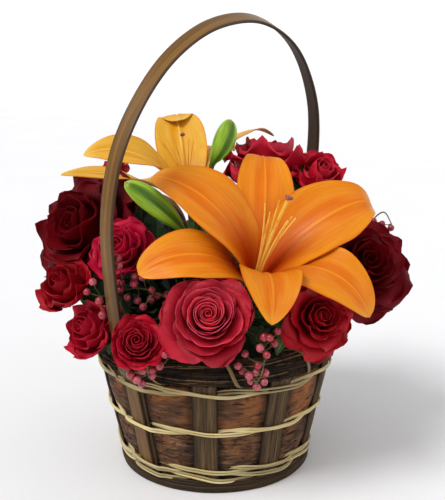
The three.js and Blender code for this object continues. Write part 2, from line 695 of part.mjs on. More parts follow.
/** A closed bud: a long six-sided spindle with a pointed tip. */
function lilyBud(base, tip, radius) {
  const length = tip.distanceTo(base);
  const shares = [[0, 0], [0.45, 0.03], [0.85, 0.25], [1, 0.52], [0.72, 0.82], [0.3, 0.96], [0, 1]];
  const spindle = turned(shares.map(([r, z]) => [r * radius, z * length]), 6);
  return place(spindle, base, tip.clone().sub(base).normalize());
}

// Buds are given by their base, tip and radius, and by a point that their stalk bends round; leaves by
// their tip. Both grow from a joint of the main stem, counted from the flower.
const FRONT_BUDS = [
  { at: 3, base: vec(-22, -45, 197.5), tip: vec(-65, -55, 237), radius: 9, by: vec(0, -34, 172) },
  { at: 4, base: vec(-27, -30, 190), tip: vec(-52, -28, 222), radius: 6, by: vec(-6, -26, 168) },
];
const BACK_BUDS = [
  { at: 3, base: vec(-3, 0, 241), tip: vec(12.6, 5, 276), radius: 9, by: vec(-10, 4, 205) },
];
const FRONT_LEAVES = [
  leafOn(2, [-30, -52, 174], 13),
  leafOn(3, [62, -62, 136], 14),
  leafOn(3, [-34, 6, 196], 14),
];
const BACK_LEAVES = [leafOn(3, [-62, 24, 186], 14), leafOn(4, [4, 62, 196], 14)];

/** The lily's stem with its buds and narrow leaves. */
function lilyStem({ centre, facing, hole }, buds, leaves) {
  const start = centre.clone().addScaledVector(facing, LILY_HEART[0][1] - CLEARANCE);
  const path = stemPath(start, facing, hole, LILY_STEM.reach);
  drill(hole, LILY_STEM.thick);
  const parts = [rod(path, LILY_STEM.thick, STEM.sides, STEM.steps)];
  const joints = path.getSpacedPoints(STEM.steps);
  for (const { at, base, tip, radius, by } of buds) {
    const stalk = new THREE.QuadraticBezierCurve3(base.clone().lerp(tip, 0.1), by, joints[at]);
    parts.push(lilyBud(base, tip, radius), rod(stalk, LILY_STEM.stalk, STEM.sides, LILY_STEM.stalkSteps));
  }
  for (const { at, tip, width } of leaves) {
    parts.push(leaf(joints[at], vec(...tip), width, LILY_STEM.leafArch));
  }
  return largest(fuse(parts));
}

// ---------- Pepperberries ----------

const SPRAYS = [
  {
    name: 'pepperberries_left', hole: [-16, -38], seed: 11, berries: 12, spread: 13,
    path: [[-22, -56, 138], [-38, -72, 156], [-56, -66, 160], [-82, -70, 155]],
  },
  {
    name: 'pepperberries_front', hole: [16, -56], seed: 5, berries: 10, spread: 10,
    path: [[26, -84, 132], [35, -107, 127], [34, -112, 114], [30, -112, 104]],
  },
  {
    name: 'pepperberries_front_left', hole: [-14, -66], seed: 23, berries: 7, spread: 8,
    path: [[-24, -92, 126], [-34, -106, 118], [-44, -106, 110], [-58, -102, 102]],
  },
  {
    name: 'pepperberries_right', hole: [54, 10], seed: 31, berries: 6, spread: 8,
    path: [[90, 30, 152], [124, 40, 180], [142, 45, 194], [149, 45, 184]],
  },
];

/** A berry, turned so that its stalk meets the middle of a face. */
function berry(centre, stalkFoot) {
  const geometry = new THREE.IcosahedronGeometry(BERRY.radius);
  const face = vec(0, 0, 0);
  for (let i = 0; i < 3; i++) face.add(vec(0, 0, 0).fromBufferAttribute(geometry.attributes.position, i));
  const towards = stalkFoot.clone().sub(centre).normalize();
  geometry.applyQuaternion(new THREE.Quaternion().setFromUnitVectors(face.normalize(), towards));
  return toSolid(geometry.translate(...centre.toArray()));
}

/** A spray: a thin main stem with berries on short stalks scattered round its outer part. */
function spray({ hole, seed, berries, path, spread }, obstacles) {
  const draw = seeded(seed);
  const [x, y] = hole;
  const surface = foamTop(Math.hypot(x, y));
  const foot = [surface - STEM.depth, surface, surface + STEM.rise].map((z) => vec(x, y, z));
  const twig = new THREE.CatmullRomCurve3([...foot, ...path.map((point) => vec(...point))]);
  drill(hole, TWIG.hole);
  const solids = [rod(twig, TWIG.radius, TWIG.sides, TWIG.steps)];
  const joints = twig.getSpacedPoints(TWIG.steps);
  const centres = [];
  const mostTries = 900;
  for (let tries = 0; centres.length < berries && tries < mostTries; tries++) {
    const joint = Math.floor(lerp(TWIG.berriesFrom, 1, draw()) * TWIG.steps);
    const along = joints[joint].clone().lerp(joints[joint + 1], draw());
    const off = vec(draw() - 0.5, draw() - 0.5, draw() - 0.5).normalize();
    const centre = along.clone().addScaledVector(off, lerp(BERRY.nearest, 1, draw()) * spread);
    const apart = centres.every((other) => other.distanceTo(centre) > 2 * BERRY.radius + BERRY.apart);
    const free = obstacles.every(({ at, radius }) => at.distanceTo(centre) > radius + BERRY.radius);
    const offEdge = centre.z > BORDER.z + BERRY.overEdge || Math.hypot(centre.x, centre.y) > BERRY.outside;
    if (!apart || !free || !offEdge) continue;
    centres.push(centre);
    solids.push(berry(centre, along), spike(along, centre, TWIG.stalk, 3));
  }
  return largest(fuse(solids));
}

// ---------- Assembly ----------

const arrangement = new THREE.Group();
arrangement.name = 'flower_basket_arrangement';

/** Adds a solid as a named mesh. */
function add(name, solid, material) {
  const mesh = new THREE.Mesh(toGeometry(solid), material);
  mesh.name = name;
  arrangement.add(mesh);
}

add('base_board', baseBoard(), DRIFTWOOD);
add('foot_ring', footRing(), FOOT_WOOD);
for (let i = 0; i < STAKE.count; i++) add(`stake_${i}`, stake(i), DRIFTWOOD);
add('bark_band_lower', barkBand(WALL_BOTTOM, BARK.seam), BARK_ROUGH);
add('bark_band_upper', barkBand(BARK.seam + CLEARANCE, BARK.top), BARK_SMOOTH);
for (const one of WALES) add(one.name, wale(one), STRAW);
add('border_roll', borderRoll(), TWIGS);
add('border_lashing', borderLashing(), STRAW);
add('handle_hoop', handleHoop(), CANE);
add('liner_dish', linerDish(), PLASTIC);

for (const one of LILIES) {
  add(`${one.name}_tepals`, lilyTepals(one), one.material);
  add(`${one.name}_stamens`, lilyStamens(one), FILAMENT);
}
add('lily_front_stem', lilyStem(LILIES[0], FRONT_BUDS, FRONT_LEAVES), LEAF_GREEN);
add('lily_back_stem', lilyStem(LILIES[1], BACK_BUDS, BACK_LEAVES), LEAF_GREEN);
ROSES.forEach((one, i) => {
  add(`${one.name}_stem`, roseStem(one), LEAF_GREEN);
  add(`${one.name}_bloom`, roseBloom({ ...one, seed: 101 + 17 * i }), one.material);
});

// The berries keep off the blooms and the handle.
const obstacles = ROSES.map(({ centre, radius }) => ({ at: centre, radius }));
for (const point of handleCurve().getSpacedPoints(90)) {
  obstacles.push({ at: onHandle(point), radius: HANDLE.width / 2 + 1 });
}
for (const one of SPRAYS) add(one.name, spray(one, obstacles), BERRY_PINK);

// Last, because every stem notes its hole when it is made.
add('foam_block', foamBlock(stemHoles), FLORAL_FOAM);

export default arrangement;
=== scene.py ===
"""A bark basket of lilies, roses and pepperberries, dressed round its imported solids.

Sizes are in millimetres and become metres where a mesh is made. +Z is up, the basket's axis is at the
origin, and the side shown first looks towards -Y. Angles round the basket run from -Y towards -X.
"""

import itertools
import logging
import math
import random
from dataclasses import dataclass, fields
from enum import Enum
from typing import Callable, Optional, Sequence, Union

import bpy
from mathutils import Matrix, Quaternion, Vector, noise


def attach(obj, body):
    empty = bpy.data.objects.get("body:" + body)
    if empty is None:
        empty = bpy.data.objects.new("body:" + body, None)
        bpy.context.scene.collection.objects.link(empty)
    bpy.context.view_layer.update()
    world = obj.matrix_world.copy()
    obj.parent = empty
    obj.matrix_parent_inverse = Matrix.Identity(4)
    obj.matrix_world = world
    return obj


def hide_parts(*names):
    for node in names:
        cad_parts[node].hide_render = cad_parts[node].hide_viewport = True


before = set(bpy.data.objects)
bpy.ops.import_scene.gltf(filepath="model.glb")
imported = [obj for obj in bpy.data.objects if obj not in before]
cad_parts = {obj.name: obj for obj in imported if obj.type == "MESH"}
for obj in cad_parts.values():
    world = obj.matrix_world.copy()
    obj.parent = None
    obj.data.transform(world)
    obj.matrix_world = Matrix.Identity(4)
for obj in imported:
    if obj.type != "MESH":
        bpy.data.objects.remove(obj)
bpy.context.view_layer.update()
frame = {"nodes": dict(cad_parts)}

log = logging.getLogger("basket")
MM = 0.001
TAU = 2 * math.pi
GOLDEN = math.radians(137.5)  # from one petal or leaf of a spiral to the next
UP = Vector((0, 0, 1))

Piece = bpy.types.Object
Point = tuple[float, float, float]
Pair = tuple[float, float]
Surface = Callable[[float, float], Vector]
Measure = Callable[[bpy.types.MeshVertex], float]
Socket = Union[bpy.types.NodeSocket, float, tuple]
LeafAt = tuple[int, Point, float]  # the stem's point where a leaf grows, the leaf's tip and its width

PETAL_THICK, TEPAL_THICK, LEAF_THICK = 0.22, 0.7, 0.4
WALL_FOOT, WALL_SLOPE = 76.0, 0.2144  # the wall's radius at z = 0, and its growth with height
DOUBLE = 0.02  # points nearer than this are one


# ---------- Small helpers ----------

def lerp(a: float, b: float, t: float) -> float:
    """Returns the value that lies the share t of the way from a to b."""
    return a + (b - a) * t


def smooth(low: float, high: float, value: float) -> float:
    """Returns 0 at low and 1 at high and beyond, with an S-shaped rise between."""
    t = min(1.0, max(0.0, (value - low) / (high - low)))
    return t * t * (3 - 2 * t)


def around(degrees: float, radius: float, z: float) -> Vector:
    """Returns the point at an angle round the basket, a radius and a height."""
    angle = math.radians(degrees)
    return Vector((-radius * math.sin(angle), -radius * math.cos(angle), z))


def wall(z: float) -> float:
    """Returns the basket's outermost radius, over the weaving, at a height."""
    return WALL_FOOT + WALL_SLOPE * z


def waver(point: Vector, size: float, seed: float = 0.0) -> float:
    """Returns smooth noise between about -1 and 1 whose bumps are size millimetres apart."""
    return noise.noise(point / size + Vector((seed * 7.31, seed * 3.17, seed * 5.77)))


def deselect() -> None:
    """Deselects every object."""
    for piece in bpy.context.selected_objects:
        piece.select_set(False)


def select(pieces: Sequence[Piece]) -> Piece:
    """Selects only these pieces and makes the first active.

    Args:
        pieces: the pieces to select.

    Returns:
        The first piece.
    """
    deselect()
    for piece in pieces:
        piece.select_set(True)
    bpy.context.view_layer.objects.active = pieces[0]
    return pieces[0]


def join(name: str, pieces: Sequence[Piece]) -> Piece:
    """Joins pieces into one.

    Args:
        name: the joined piece's name.
        pieces: what is joined.

    Returns:
        The joined piece.
    """
    whole = select(pieces)
    if len(pieces) > 1:
        bpy.ops.object.join()
    whole.name = name
    whole.data.name = name
    return whole


def apply(piece: Piece, kind: str, **settings: object) -> None:
    """Adds a modifier to a piece and applies it.

    Args:
        piece: the piece.
        kind: the modifier's type.
        settings: the modifier's settings.
    """
    select([piece])
    modifier = piece.modifiers.new(kind.title(), kind)
    for key, value in settings.items():
        setattr(modifier, key, value)
    bpy.ops.object.modifier_apply(modifier=modifier.name)


def thicken(piece: Piece, thickness: float) -> None:
    """Gives a sheet its thickness, half on each side."""
    apply(piece, "SOLIDIFY", thickness=thickness * MM, offset=0.0)


def weld(piece: Piece, turn: bool = True) -> None:
    """Merges doubled vertices, as where a sheet closes on itself.

    Args:
        piece: the piece.
        turn: whether its faces are then turned outwards, as on a closed shell.
    """
    select([piece])
    bpy.ops.object.mode_set(mode="EDIT")
    bpy.ops.mesh.select_all(action="SELECT")
    bpy.ops.mesh.remove_doubles(threshold=DOUBLE * MM)
    if turn:
        bpy.ops.mesh.normals_make_consistent(inside=False)
    bpy.ops.object.mode_set(mode="OBJECT")


def shade(piece: Piece, angle: float = 50.0) -> None:
    """Shades a piece smooth, apart from edges sharper than an angle in degrees."""
    select([piece])
    bpy.ops.object.shade_smooth_by_angle(angle=math.radians(angle))


def mark(piece: Piece, name: str, value: Union[float, Measure]) -> None:
    """Stores a number on each of a piece's points, for its finish to read.

    Args:
        piece: the piece.
        name: what the number is called.
        value: one number for all, or what gives it for a vertex.
    """
    layer = piece.data.attributes.new(name, "FLOAT", "POINT")
    numbers = [value(vertex) if callable(value) else value for vertex in piece.data.vertices]
    layer.data.foreach_set("value", numbers)


def set_down(piece: Piece, facing: Point, centre: Point) -> None:
    """Moves a piece that was made round +Z to where it belongs.

    Args:
        piece: the piece.
        facing: the way that its +Z then looks.
        centre: where its origin then is, in millimetres.
    """
    turned = aim(Vector(facing).normalized())
    moved = Vector(centre) * MM
    for vertex in piece.data.vertices:
        vertex.co = turned @ vertex.co + moved


_grids: dict[tuple[int, int], bpy.types.Mesh] = {}


def sheet(columns: int, rows: int, surface: Surface) -> Piece:
    """Lays a grid over a surface.

    Args:
        columns: cells across.
        rows: cells along.
        surface: gives the point in millimetres at x, from -1 to 1 across, and t, from 0 to 1 along.

    Returns:
        The sheet, with its own UV map across and along.
    """
    key = (columns, rows)
    if key not in _grids:
        deselect()
        bpy.ops.mesh.primitive_grid_add(x_subdivisions=columns, y_subdivisions=rows, size=2)
        first = bpy.context.active_object
        _grids[key] = first.data.copy()
        bpy.data.objects.remove(first)
    piece = bpy.data.objects.new("sheet", _grids[key].copy())
    bpy.context.scene.collection.objects.link(piece)
    for vertex in piece.data.vertices:
        vertex.co = surface(vertex.co.x, (vertex.co.y + 1) / 2) * MM
    return piece


@dataclass(frozen=True)
class Strand:
    """A round strand: its points, its radius at each of them, and whether it closes on itself."""
    points: Sequence[Vector]
    radii: Sequence[float]
    closed: bool = False


def strands(name: str, runs: Sequence[Strand], fineness: int = 1) -> Piece:
    """Makes round open strands from one curve object, turned into a mesh.

    Args:
        name: the piece's name.
        runs: the strands.
        fineness: how finely a strand is rounded.

    Returns:
        The piece.
    """
    deselect()
    bpy.ops.curve.primitive_nurbs_path_add()
    piece = bpy.context.active_object
    piece.name = name
    curve = piece.data
    curve.splines.clear()
    curve.bevel_depth = MM
    curve.bevel_resolution = fineness
    curve.use_fill_caps = True
    curve.twist_mode = "MINIMUM"
    for run in runs:
        spline = curve.splines.new("POLY")
        spline.points.add(len(run.points) - 1)
        for corner, point, radius in zip(spline.points, run.points, run.radii):
            corner.co = (*(point * MM), 1)
            corner.radius = radius
        spline.use_smooth = True
    bpy.ops.object.convert(target="MESH")
    piece.location = (0, 0, 0)
    return piece


def tube(run: Strand, sides: int, tone: float) -> Piece:
    """Makes a strand that never runs upright as a sheet rolled round it, so that it has its own UV map.

    Args:
        run: the strand.
        sides: how many sides it has.
        tone: how light it is, from 0 to 1.

    Returns:
        The strand, whose seam is still open.
    """
    points = [*run.points, run.points[0]] if run.closed else list(run.points)
    radii = [*run.radii, run.radii[0]]
    last = len(points) - 1
    frames = []
    for i in range(last + 1):
        after = points[1] if run.closed and i == last else points[min(last, i + 1)]
        before = points[last - 1] if run.closed and i == 0 else points[max(0, i - 1)]
        out = (after - before).cross(UP).normalized()
        frames.append((out, (after - before).cross(out).normalized()))

    def surface(x: float, t: float) -> Vector:
        """Finds a point on the strand's skin.

        Args:
            x: across it, from -1 to 1.
            t: along it, from 0 to 1.

        Returns:
            The point.
        """
        i = round(t * last)
        out, down = frames[i]
        return points[i] + (out * math.cos(math.pi * x) + down * math.sin(math.pi * x)) * radii[i]

    piece = sheet(sides, last, surface)
    mark(piece, "tone", tone)
    return piece


def bezier(points: Sequence[Vector], steps: int) -> list[Vector]:
    """Draws a Bezier curve.

    Args:
        points: its control points.
        steps: how many stretches it has.

    Returns:
        Points along it, one more than its stretches.
    """
    run = []
    for i in range(steps + 1):
        level = [point.copy() for point in points]
        while len(level) > 1:
            level = [a.lerp(b, i / steps) for a, b in zip(level, level[1:])]
        run.append(level[0])
    return run


def catmull(points: Sequence[Vector], steps: int) -> list[Vector]:
    """Draws a smooth centripetal curve through points.

    Args:
        points: the points.
        steps: how many stretches lie between each two of them.

    Returns:
        Points along it.
    """
    ends = [2 * points[0] - points[1], *points, 2 * points[-1] - points[-2]]
    run = []
    for i in range(1, len(ends) - 2):
        p = ends[i - 1:i + 3]
        k = [0.0]
        for a, b in zip(p, p[1:]):
            k.append(k[-1] + max(1e-6, (b - a).length ** 0.5))
        for part in range(steps):
            t = lerp(k[1], k[2], part / steps)
            a1 = p[0].lerp(p[1], (t - k[0]) / (k[1] - k[0]))
            a2 = p[1].lerp(p[2], (t - k[1]) / (k[2] - k[1]))
            a3 = p[2].lerp(p[3], (t - k[2]) / (k[3] - k[2]))
            b1 = a1.lerp(a2, (t - k[0]) / (k[2] - k[0]))
            b2 = a2.lerp(a3, (t - k[1]) / (k[3] - k[1]))
            run.append(b1.lerp(b2, (t - k[1]) / (k[2] - k[1])))
    run.append(points[-1].copy())
    return run


def aim(facing: Vector) -> Quaternion:
    """Returns the turn that takes +Z to a direction."""
    return UP.rotation_difference(facing)


# ---------- Finishes ----------

EASE = {"interpolation_type": "SMOOTHSTEP"}  # for a number that runs smoothly between two others
RGBA = {"data_type": "RGBA"}  # for a mix of two colours


def linear(colour: str) -> tuple[float, float, float, float]:
    """Turns an sRGB hex colour to linear.

    Args:
        colour: the colour as #rrggbb.

    Returns:
        Its linear red, green and blue, and an alpha of 1.
    """
    parts = [int(colour[i:i + 2], 16) / 255 for i in (1, 3, 5)]
    turned = [c / 12.92 if c <= 0.04045 else ((c + 0.055) / 1.055) ** 2.4 for c in parts]
    return (*turned, 1.0)


@dataclass(frozen=True)
class Places:
    """A sheet's own coordinate, its shares across and along, and how far a spot is off the middle line."""
    whole: Socket
    across: Socket
    along: Socket
    off: Socket


@dataclass(frozen=True)
class Painter:
    """Draws patterns into one material's node tree."""
    tree: bpy.types.NodeTree

    def node(self, kind: str, inputs: Optional[dict] = None, out: Union[int, str] = 0,
             **settings: object) -> Optional[bpy.types.NodeSocket]:
        """Adds a node with its settings and links.

        Args:
            kind: the node's type, without its prefix.
            inputs: a value or a socket for each named or numbered input.
            out: the name or number of the output that is wanted.
            settings: the node's own properties.

        Returns:
            That output, or None where the node has none.
        """
        made = self.tree.nodes.new("ShaderNode" + kind)
        for key, value in settings.items():
            setattr(made, key, value)
        for key, value in (inputs or {}).items():
            if isinstance(value, bpy.types.NodeSocket):
                self.tree.links.new(value, made.inputs[key])
            else:
                made.inputs[key].default_value = value
        return made.outputs[out] if made.outputs else None

    def places(self) -> Places:
        """Reads where a spot lies on its sheet.

        Returns:
            The spot's places on the sheet.
        """
        whole = self.node("UVMap", uv_map="UVMap")
        across = self.node("SeparateXYZ", {0: whole}, "X")
        along = self.node("SeparateXYZ", {0: whole}, "Y")
        off = self.node("Math", {0: across, 1: 0.5}, operation="SUBTRACT")
        return Places(whole, across, along, self.node("Math", {0: off}, operation="ABSOLUTE"))

    def stored(self, name: str) -> bpy.types.NodeSocket:
        """Returns a number that mark() stored on the piece's points."""
        return self.node("Attribute", out="Fac", attribute_name=name)

    def grain(self, vector: Socket, scale: Point, detail: float = 4.0,
              distortion: float = 0.0) -> bpy.types.NodeSocket:
        """Draws noise on a coordinate that is first stretched.

        Args:
            vector: the coordinate.
            scale: how many bumps there are to each unit of it, on each axis.
            detail: how many finer layers the noise has.
            distortion: how far it is warped.

        Returns:
            The noise, about 0.5 with most of it from 0.3 to 0.7.
        """
        placed = self.node("Mapping", {"Vector": vector, "Scale": scale})
        inputs = {"Vector": placed, "Scale": 1.0, "Detail": detail, "Distortion": distortion}
        return self.node("TexNoise", inputs)

    def wash(self, colour: Socket, tint: str, pattern: Socket, low: float, high: float,
             share: float = 1.0, rest: float = 0.0, within: Optional[Socket] = None) -> Socket:
        """Lays a tint over a colour, as far as a pattern says.

        Args:
            colour: the colour below.
            tint: the tint, as an sRGB hex colour.
            pattern: the pattern.
            low: the pattern's value where the wash has the share rest.
            high: the pattern's value where it has its full share.
            share: its full share, from 0 to 1.
            rest: its share elsewhere.
            within: a number that weakens it from place to place.

        Returns:
            The washed colour.
        """
        cover = self.node("MapRange", {0: pattern, 1: low, 2: high, 3: rest, 4: share}, **EASE)
        if within is not None:
            cover = self.node("Math", {0: cover, 1: within}, operation="MULTIPLY")
        return self.node("Mix", {0: cover, 6: colour, 7: linear(tint)}, 2, **RGBA)

    def vary(self, colour: Socket, dark: float, pale: float) -> bpy.types.NodeSocket:
        """Makes a colour darker or paler by its piece's tone.

        Args:
            colour: the colour.
            dark: its brightness at a tone of 0.
            pale: its brightness at a tone of 1.

        Returns:
            The varied colour.
        """
        bright = self.node("MapRange", {0: self.stored("tone"), 3: dark, 4: pale}, **EASE)
        return self.node("HueSaturation", {"Value": bright, "Color": colour})


@dataclass(frozen=True)
class Drawn:
    """What a finish draws: its colour, its relief from 0 to 1 and its roughness."""
    colour: Socket
    relief: Socket
    roughness: Socket


@dataclass(frozen=True)
class Finish:
    """A surface finish. Each kind of finish says in draw() how its pattern is made."""
    name: str
    slot: str
    depth: float = 0.2  # of the relief, in millimetres
    sheen: float = 0.0
    tint: str = "#ffffff"  # of the sheen
    coat: float = 0.0
    ior: float = 1.45

    def draw(self, paint: Painter) -> Drawn:
        """Draws the finish's pattern."""
        raise NotImplementedError

    def make(self) -> bpy.types.Material:
        """Makes the finish's material, once.

        Returns:
            The material.
        """
        known = bpy.data.materials.get(self.name)
        if known:
            return known
        material = bpy.data.materials.new(self.name)
        material.use_nodes = True
        material.node_tree.nodes.clear()
        paint = Painter(material.node_tree)
        drawn = self.draw(paint)
        bump = paint.node("Bump", {"Height": drawn.relief, "Distance": self.depth * MM})
        shader = paint.node("BsdfPrincipled", {
            "Base Color": drawn.colour, "Roughness": drawn.roughness, "Normal": bump,
            "IOR": self.ior, "Sheen Weight": self.sheen, "Sheen Roughness": 0.4,
            "Sheen Tint": linear(self.tint), "Coat Weight": self.coat, "Coat Roughness": 0.25})
        paint.node("OutputMaterial", {"Surface": shader})
        return material

    def dress(self, piece: Piece) -> None:
        """Gives a piece this finish.

        Args:
            piece: the piece.
        """
        piece.data.materials.clear()
        piece.data.materials.append(self.make())


@dataclass(frozen=True)
class RosePetal(Finish):
    """Rose petals: velvety, with fine veins, a paler rim that is partly painted highlight, and painted shade
    towards the foot.
    """
    heart: str = "#c01030"
    body: str = "#a00828"
    # rim, rim_share and glow paint the rim paler: partly the petal's own colour, partly painted highlight
    rim: str = "#d04060"
    rim_share: float = 0.5
    # foot: the colour of the veins and of the painted shade at each petal's foot
    foot: str = "#500010"
    glow: float = 0.15

    def draw(self, paint: Painter) -> Drawn:
        """Draws veins, the rim's painted highlight and the foot's painted shade along each petal.

        On a petal 40 mm wide the veins are 1.2 mm apart and 13 mm long, as broad as they have to be
        to show.

        Args:
            paint: draws into the material.

        Returns:
            The petal's colour, relief and roughness.
        """
        spot = paint.places()
        reach = paint.stored("reach")
        veins = paint.grain(spot.whole, (34, 3.0, 1), 3.0, 0.4)
        blotch = paint.grain(spot.whole, (3, 3, 1), 2.0)
        uneven = paint.node("Math", {0: blotch, 1: 0.16}, operation="MULTIPLY")
        lip = paint.node("Math", {0: spot.along, 1: uneven}, operation="ADD")
        past_heart = paint.node("MapRange", {0: reach, 1: 0.05, 2: 0.4, 3: 0.4, 4: 1.0}, **EASE)
        before_edge = paint.node("MapRange", {0: reach, 1: 0.72, 2: 0.92, 3: 1.0, 4: 0.2}, **EASE)
        middle = paint.node("Math", {0: past_heart, 1: before_edge}, operation="MULTIPLY")
        colour = paint.node("Mix", {0: reach, 6: linear(self.heart), 7: linear(self.body)}, 2, **RGBA)
        colour = paint.wash(colour, self.foot, veins, 0.45, 0.72, 0.22)
        # Painted highlight, partly the petals' own paler colour: the outer part and rim of each petal in the
        # middle rings
        colour = paint.wash(colour, self.rim, spot.along, 0.55, 1.0, self.glow, within=middle)
        colour = paint.wash(colour, self.rim, lip, 0.9, 1.15, self.rim_share, within=middle)
        # Painted shade: each petal darkens towards its foot, deep in the cup
        colour = paint.wash(colour, self.foot, spot.along, 0.05, 0.5, 0.0, 0.75)
        rough = paint.node("MapRange", {0: veins, 1: 0.3, 2: 0.7, 3: 0.48, 4: 0.62}, **EASE)
        return Drawn(paint.vary(colour, 0.82, 1.14), veins, rough)


@dataclass(frozen=True)
class LilyTepal(Finish):
    """Lily tepals: waxy, with a redder throat, a fine lengthwise grain and a paler rib."""
    body: str = "#e8820e"
    throat: str = "#b03008"
    edge: str = "#f0a030"
    tip: str = "#f0a838"
    rib: str = "#f6a83c"
    rim: str = "#d85c06"
    throat_reach: float = 0.5

    def draw(self, paint: Painter) -> Drawn:
        """Draws throat, rib, grain and tip along each tepal.

        On a tepal of 45 by 110 mm the grain's lines are 1.7 mm apart, a little more than the real ones.

        Args:
            paint: draws into the material.

        Returns:
            The tepal's colour, relief and roughness.
        """
        spot = paint.places()
        lines = paint.grain(spot.whole, (26, 1.3, 1), 4.0, 0.25)
        wide = paint.grain(spot.whole, (4, 2.2, 1), 3.0, 0.6)
        colour = paint.wash(linear(self.body), self.edge, spot.off, 0.18, 0.5)
        colour = paint.wash(colour, self.body, wide, 0.35, 0.7, 0.6)
        colour = paint.wash(colour, self.tip, wide, 0.6, 0.3, 0.35)
        colour = paint.wash(colour, self.throat, lines, 0.45, 0.75, 0.3)
        colour = paint.wash(colour, self.rim, spot.off, 0.465, 0.5, 0.6)
        streaks = paint.node("Math", {0: lines, 1: 0.22}, operation="MULTIPLY")
        flare = paint.node("Math", {0: spot.off, 1: 0.5}, operation="MULTIPLY")
        reach = paint.node("Math", {0: spot.along, 1: streaks}, operation="ADD")
        reach = paint.node("Math", {0: reach, 1: flare}, operation="ADD")
        colour = paint.wash(colour, self.throat, reach, 0.18, self.throat_reach + 0.26, 0.0, 0.95)
        ahead = paint.node("MapRange", {0: spot.along, 1: 0.3, 2: 0.55}, **EASE)
        colour = paint.wash(colour, self.rib, spot.off, 0.0, 0.035, 0.0, 0.7, within=ahead)
        colour = paint.wash(colour, self.tip, spot.along, 0.86, 1.0, 0.6)
        rough = paint.node("MapRange", {0: lines, 1: 0.3, 2: 0.7, 3: 0.36, 4: 0.5}, **EASE)
        return Drawn(paint.vary(colour, 0.92, 1.08), lines, rough)


@dataclass(frozen=True)
class Leaf(Finish):
    """Leaves: a satin green blade with a paler rib and side veins."""
    body: str = "#2c4a1c"
    vein: str = "#6a8a4a"
    shade: str = "#14260e"

    def draw(self, paint: Painter) -> Drawn:
        """Draws the rib and the slanting side veins, twelve to each side, and a mottled blade.

        Args:
            paint: draws into the material.

        Returns:
            The leaf's colour, relief and roughness.
        """
        spot = paint.places()
        rise = paint.node("Math", {0: spot.off, 1: 0.5}, operation="MULTIPLY")
        slant = paint.node("Math", {0: spot.along, 1: rise}, operation="SUBTRACT")
        waves = paint.node("Math", {0: slant, 1: 75.0}, operation="MULTIPLY")
        waves = paint.node("Math", {0: waves}, operation="SINE")
        side = paint.node("MapRange", {0: waves, 1: 0.75, 2: 1.0, 3: 0.0, 4: 0.4}, **EASE)
        rib = paint.node("MapRange", {0: spot.off, 1: 0.01, 2: 0.04, 3: 0.8, 4: 0.0}, **EASE)
        veins = paint.node("Math", {0: side, 1: rib}, operation="MAXIMUM")
        mottle = paint.grain(spot.whole, (9, 14, 1), 4.0)
        colour = paint.wash(linear(self.body), self.shade, mottle, 0.35, 0.7)
        colour = paint.node("Mix", {0: veins, 6: colour, 7: linear(self.vein)}, 2, **RGBA)
        relief = paint.node("Math", {0: 1.0, 1: veins}, operation="SUBTRACT")
        rough = paint.node("MapRange", {0: mottle, 1: 0.3, 2: 0.7, 3: 0.38, 4: 0.55}, **EASE)
        return Drawn(paint.vary(colour, 0.6, 1.3), relief, rough)


@dataclass(frozen=True)
class Bud(Finish):
    """Lily buds: fresh green, paler along the ridges and darker in the seams."""
    body: str = "#a8d034"
    seam: str = "#3c6a10"
    tip: str = "#c8b848"

    def draw(self, paint: Painter) -> Drawn:
        """Draws the three seams round the bud, its grain and its gradient along.

        Args:
            paint: draws into the material.

        Returns:
            The bud's colour, relief and roughness.
        """
        spot = paint.places()
        turn = paint.node("Math", {0: spot.across, 1: 0.5}, operation="SUBTRACT")
        turn = paint.node("Math", {0: turn, 1: TAU * 3}, operation="MULTIPLY")
        turn = paint.node("Math", {0: turn}, operation="COSINE")
        lines = paint.grain(spot.whole, (50, 1.6, 1), 3.0)
        wide = paint.grain(spot.whole, (9, 1.5, 1), 2.0)
        colour = paint.wash(linear(self.body), self.seam, turn, -1.0, 0.1, 0.0, 0.9)
        colour = paint.wash(colour, self.seam, wide, 0.4, 0.65, 0.5)
        colour = paint.wash(colour, self.seam, lines, 0.4, 0.7, 0.35)
        colour = paint.wash(colour, self.tip, spot.along, 0.9, 1.0, 0.4)
        colour = paint.wash(colour, self.seam, spot.along, 0.0, 0.3, 0.0, 0.6)
        return Drawn(colour, lines, 0.34)


